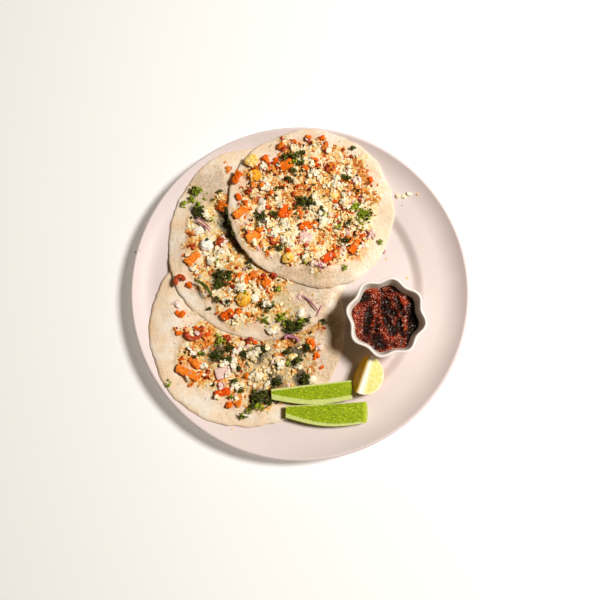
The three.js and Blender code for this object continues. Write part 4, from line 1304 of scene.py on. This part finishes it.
# Pieces with a place of their own, by kind in the order of laying: x, y, turn in degrees and length.
SINGLES = (
    ("sliver", ((-78.2, 51.2, -42, 18.0), (-77.0, 52.6, -44, 16.0), (8.5, -11.5, -46, 18.0),
        (18.0, 16.5, -12, 12.0))),
    ("stem", ((-75.0, 0.5, -42, 20.0), (-131.2, 30.4, 4, 6.5))),
    ("crumb", ((81.2, 78.4, 10, 5.6), (85.4, 77.4, 55, 5.2), (90.6, 78.2, 150, 5.8))),
    ("crumb_small", ((96.5, 78.6, 0, 2.6), (97.2, 34.3, 0, 2.2), (87.6, 10.2, 40, 2.6),
        (70.9, 26.0, 60, 2.4), (-52.4, -110.9, 0, 2.2))),
    ("fleck", ((84.0, 70.0, 0, 1.2),)),
    ("onion", ((70.2, 32.0, 70, 3.6),)),
    ("leaf_green", ((66.5, 39.5, 20, 2.6),)),
    ("carrot", ((-16.0, 117.5, 30, 6.5), (-28.5, 107.5, 50, 6.0), (-19.5, 103.0, 0, 4.5),
        (-31.0, 84.0, 80, 6.0), (-50.0, 74.5, 120, 6.5), (7.0, 124.5, 20, 5.0))),
    ("crumb", ((-31.0, 70.0, 70, 8.0), (14.0, 70.0, 20, 6.5), (29.0, 67.0, 0, 5.5), (-5.0, 87.0, 40, 5.5),
        (-8.0, 35.0, 30, 7.0), (24.0, 113.5, 10, 6.5), (-39.0, -56.0, 50, 6.5), (-33.0, -49.5, 10, 6.0),
        (-52.0, -77.0, 90, 6.5), (-16.0, -58.0, 30, 6.0), (-39.0, -70.0, 0, 6.0), (-25.0, -75.0, 20, 6.0),
        (9.5, -74.0, 10, 6.5))),
)
# The order in which the kinds are laid down.
LAYERS = (
    "browned_small", "browned", "shred", "tomato", "carrot", "leaf_dark", "onion", "leaf_green", "sliver",
    "stem", "crumb", "crumb_small", "fleck",
)
# What lies under the small toppings is numbered: discs, large toppings, plate. Nothing is strewn on the
# first large topping. On what is numbered from SPARSE_FROM on, only a share of the pieces stays.
SPARSE_FROM, SPARSE_SHARE = len(DISCS) + 1, 0.22
# Nothing is strewn further out than this, in either direction.
STREWN_REACH = 128


def copy_size(kind):
    """Length, width and thickness of one copy, by chance."""
    length, spread, width, thick, _, _ = SIZES[kind]
    length *= min(1.5, math.exp(RANDOM.normal(0, spread)))
    jitter = RANDOM.uniform(0.8, 1.2, 2)
    return length, length * width * jitter[0], length * thick * jitter[1]


def shows(heap, number, at):
    """Whether a place is on the disc of this number, or by chance on a large topping or the plate."""
    if np.abs(at).max() > STREWN_REACH:
        return False
    owner = heap.owner_at(*at[:2])
    if owner >= SPARSE_FROM:
        return RANDOM.uniform() <= SPARSE_SHARE
    return owner == number


def suits(layer, disc, number, at, even):
    """Whether a disc takes a kind at a place, by chance: evenly strewn kinds gather in clusters."""
    between = even and noise(at, 11, 7 + number) + 0.6 * noise(at, 4, 8) < RANDOM.uniform(-1, 0.4)
    if between and layer != "fleck":
        return False
    if layer not in HERBS and patchiness(disc["stained"], at) > RANDOM.uniform(0, 1.2):
        return False
    if layer in BROWNED and patchiness(disc["pale"], at) > RANDOM.uniform(0, 0.9):
        return False
    return not even or layer == "fleck" or topping_cover(disc, at) >= RANDOM.uniform(0, 0.8)


def strew(heap, kinds, name, number):
    """Lays a disc's small toppings, layer by layer, only where that disc shows from above."""
    plan, disc = LAYOUT[name], DISCS[name]
    for layer in LAYERS:
        lean, sink = SIZES[layer][4:]
        spots = [(*disc["topped"], plan["even"].get(layer, 0), True)]
        spots += [(*patch, False) for patch in plan.get(layer, ())]
        for x, y, reach, count, even in spots:
            for _ in range(count):
                turn = RANDOM.uniform(0, 2 * math.pi)
                away = reach * (math.sqrt(RANDOM.uniform()) if even else abs(RANDOM.normal(0, 0.5)))
                at = np.array((x + away * math.cos(turn), y + away * math.sin(turn), 0))
                if not shows(heap, number, at) or not suits(layer, disc, number, at, even):
                    continue
                tone = RANDOM.uniform(0, 0.75) if even else RANDOM.uniform(0.3, 1)
                lay(heap, kinds[layer], at[0], at[1], copy_size(layer), lean, sink, tone)


def place_singles(heap, kinds):
    for kind, places in SINGLES:
        _, _, width, thick, lean, sink = SIZES[kind]
        for x, y, turn, length in places:
            size = (length, length * width, length * thick)
            lay(heap, kinds[kind], x, y, size, 0.3 * lean, sink, yaw=math.radians(turn))


# ---- Camera, light and floor ----

# The floor, in metres.
FLOOR_REACH, COVE_REACH, COVE_HEIGHT = 2.2, 4.0, 1.3
FLOOR_COLOUR, FLOOR_GLOW_COLOUR = (0.86, 0.87, 0.88), (1, 0.93, 0.82, 1)
FLOOR_GLOW = 0.22
# The camera, in millimetres, and how steeply it looks down, in degrees.
CAMERA_SENSOR, CAMERA_LENS, CAMERA_DOWN, CAMERA_AWAY = 36, 39.57, 81, 520
CAMERA_TARGET = (0, -10.6, 22)
KEY_PLACE, KEY_SIZE, KEY_WATTS, KEY_COLOUR = (785, 167, 1160), 340, 23.3, (1.0, 0.95, 0.9)
ROOM_COLOUR, ROOM_STRENGTH = (1.0, 0.64, 0.16, 1), 0.035


def add_camera():
    camera = add_object("camera", bpy.data.cameras.new("camera"))
    camera.data.sensor_width = CAMERA_SENSOR
    camera.data.lens = CAMERA_LENS
    camera.data.clip_start = 0.01
    down = math.radians(CAMERA_DOWN)
    away = Vector((0, -math.cos(down), math.sin(down)))
    camera.location = Vector(CAMERA_TARGET) * MM + away * CAMERA_AWAY * MM
    camera.rotation_euler = (-away).to_track_quat("-Z", "Y").to_euler()
    bpy.context.scene.camera = camera


def add_key_light():
    """One soft lamp, aimed at the plate's middle."""
    lamp = bpy.data.lights.new("key", "AREA")
    lamp.shape = "DISK"
    lamp.size = KEY_SIZE * MM
    lamp.energy = KEY_WATTS
    lamp.color = KEY_COLOUR
    light = add_object("key", lamp)
    light.location = Vector(KEY_PLACE) * MM
    light.rotation_euler = (-light.location).to_track_quat("-Z", "Y").to_euler()


def add_floor():
    """A pale, faintly glowing floor that curves up far from the plate."""
    radii = np.linspace(0, COVE_REACH, 25)[1:]
    bend = np.clip((radii - FLOOR_REACH) / (COVE_REACH - FLOOR_REACH), 0, 1)
    turn = full_turn(72)
    rings = [circle(turn, radius, COVE_HEIGHT * share**2) for radius, share in zip(radii, bend)]
    points, faces = ring_surface(rings, (0, 0, 0))
    s = Surface("pale_floor", 0.9, Emission_Color=FLOOR_GLOW_COLOUR, Emission_Strength=FLOOR_GLOW)
    floor = add_object("floor", smooth_mesh("floor", points, faces, s.finish(FLOOR_COLOUR)))


def light_scene():
    world = bpy.data.worlds.new("soft_room")
    world.use_nodes = True
    background = world.node_tree.nodes["Background"]
    background.inputs["Color"].default_value = ROOM_COLOUR
    background.inputs["Strength"].default_value = ROOM_STRENGTH
    bpy.context.scene.world = world
    add_key_light()
    bpy.context.scene.view_settings.view_transform = "Standard"


add_camera()
add_floor()
light_scene()
plate = make_plate()
discs = [make_uttapam(name, disc, order) for order, (name, disc) in enumerate(DISCS.items())]
make_bowl()
make_chutney()
make_lime()
for name, stick in STICKS.items():
    make_stick(name, stick)
toppings = make_toppings()

KINDS = {
    "crumb_small": Kind("paneer_crumbs_small", lump_shapes(1, 0.35), "paneer_crumb", "paneer"),
    "crumb": Kind("paneer_crumbs", clump_shapes(3, 0.4, 3.2), "white_crumb", "paneer"),
    "browned_small": Kind("browned_crumbs_small", lump_shapes(1, 0.35), "browned_crumb", "paneer_fried"),
    "browned": Kind("browned_crumbs", clump_shapes(3, 0.4, 2.4), "browned_crumb", "paneer_fried"),
    "carrot": Kind("carrot_dice", lump_shapes(2, 0.2, 4.5), "carrot", "carrot"),
    "shred": Kind("carrot_shreds", lump_shapes(1, 0.4, 3.0), "carrot", "carrot"),
    "tomato": Kind("tomato_bits", lump_shapes(2, 0.35, 3.0), "tomato", "tomato"),
    "leaf_dark": Kind("coriander_dark", leaf_shapes(), "dark_coriander", "cucumber"),
    "leaf_green": Kind("coriander_green", leaf_shapes(), "green_coriander", "cucumber"),
    "onion": Kind("onion_chips", lump_shapes(2, 0.25, 4.0), "onion", "onion"),
    "sliver": Kind("onion_slivers", strip_shapes(0.05, 0.07, 70), "onion_skin", "onion_purple"),
    "stem": Kind("coriander_stems", strip_shapes(0.07, 0.07, 120), "dark_coriander", "cucumber"),
    "fleck": Kind("dark_flecks", lump_shapes(1, 0.3), "fleck", "paneer_fried"),
}
heap = Heap([*discs, *toppings, plate])
for number, name in enumerate(DISCS):
    strew(heap, KINDS, name, number)
place_singles(heap, KINDS)
for kind in KINDS.values():
    kind.build()
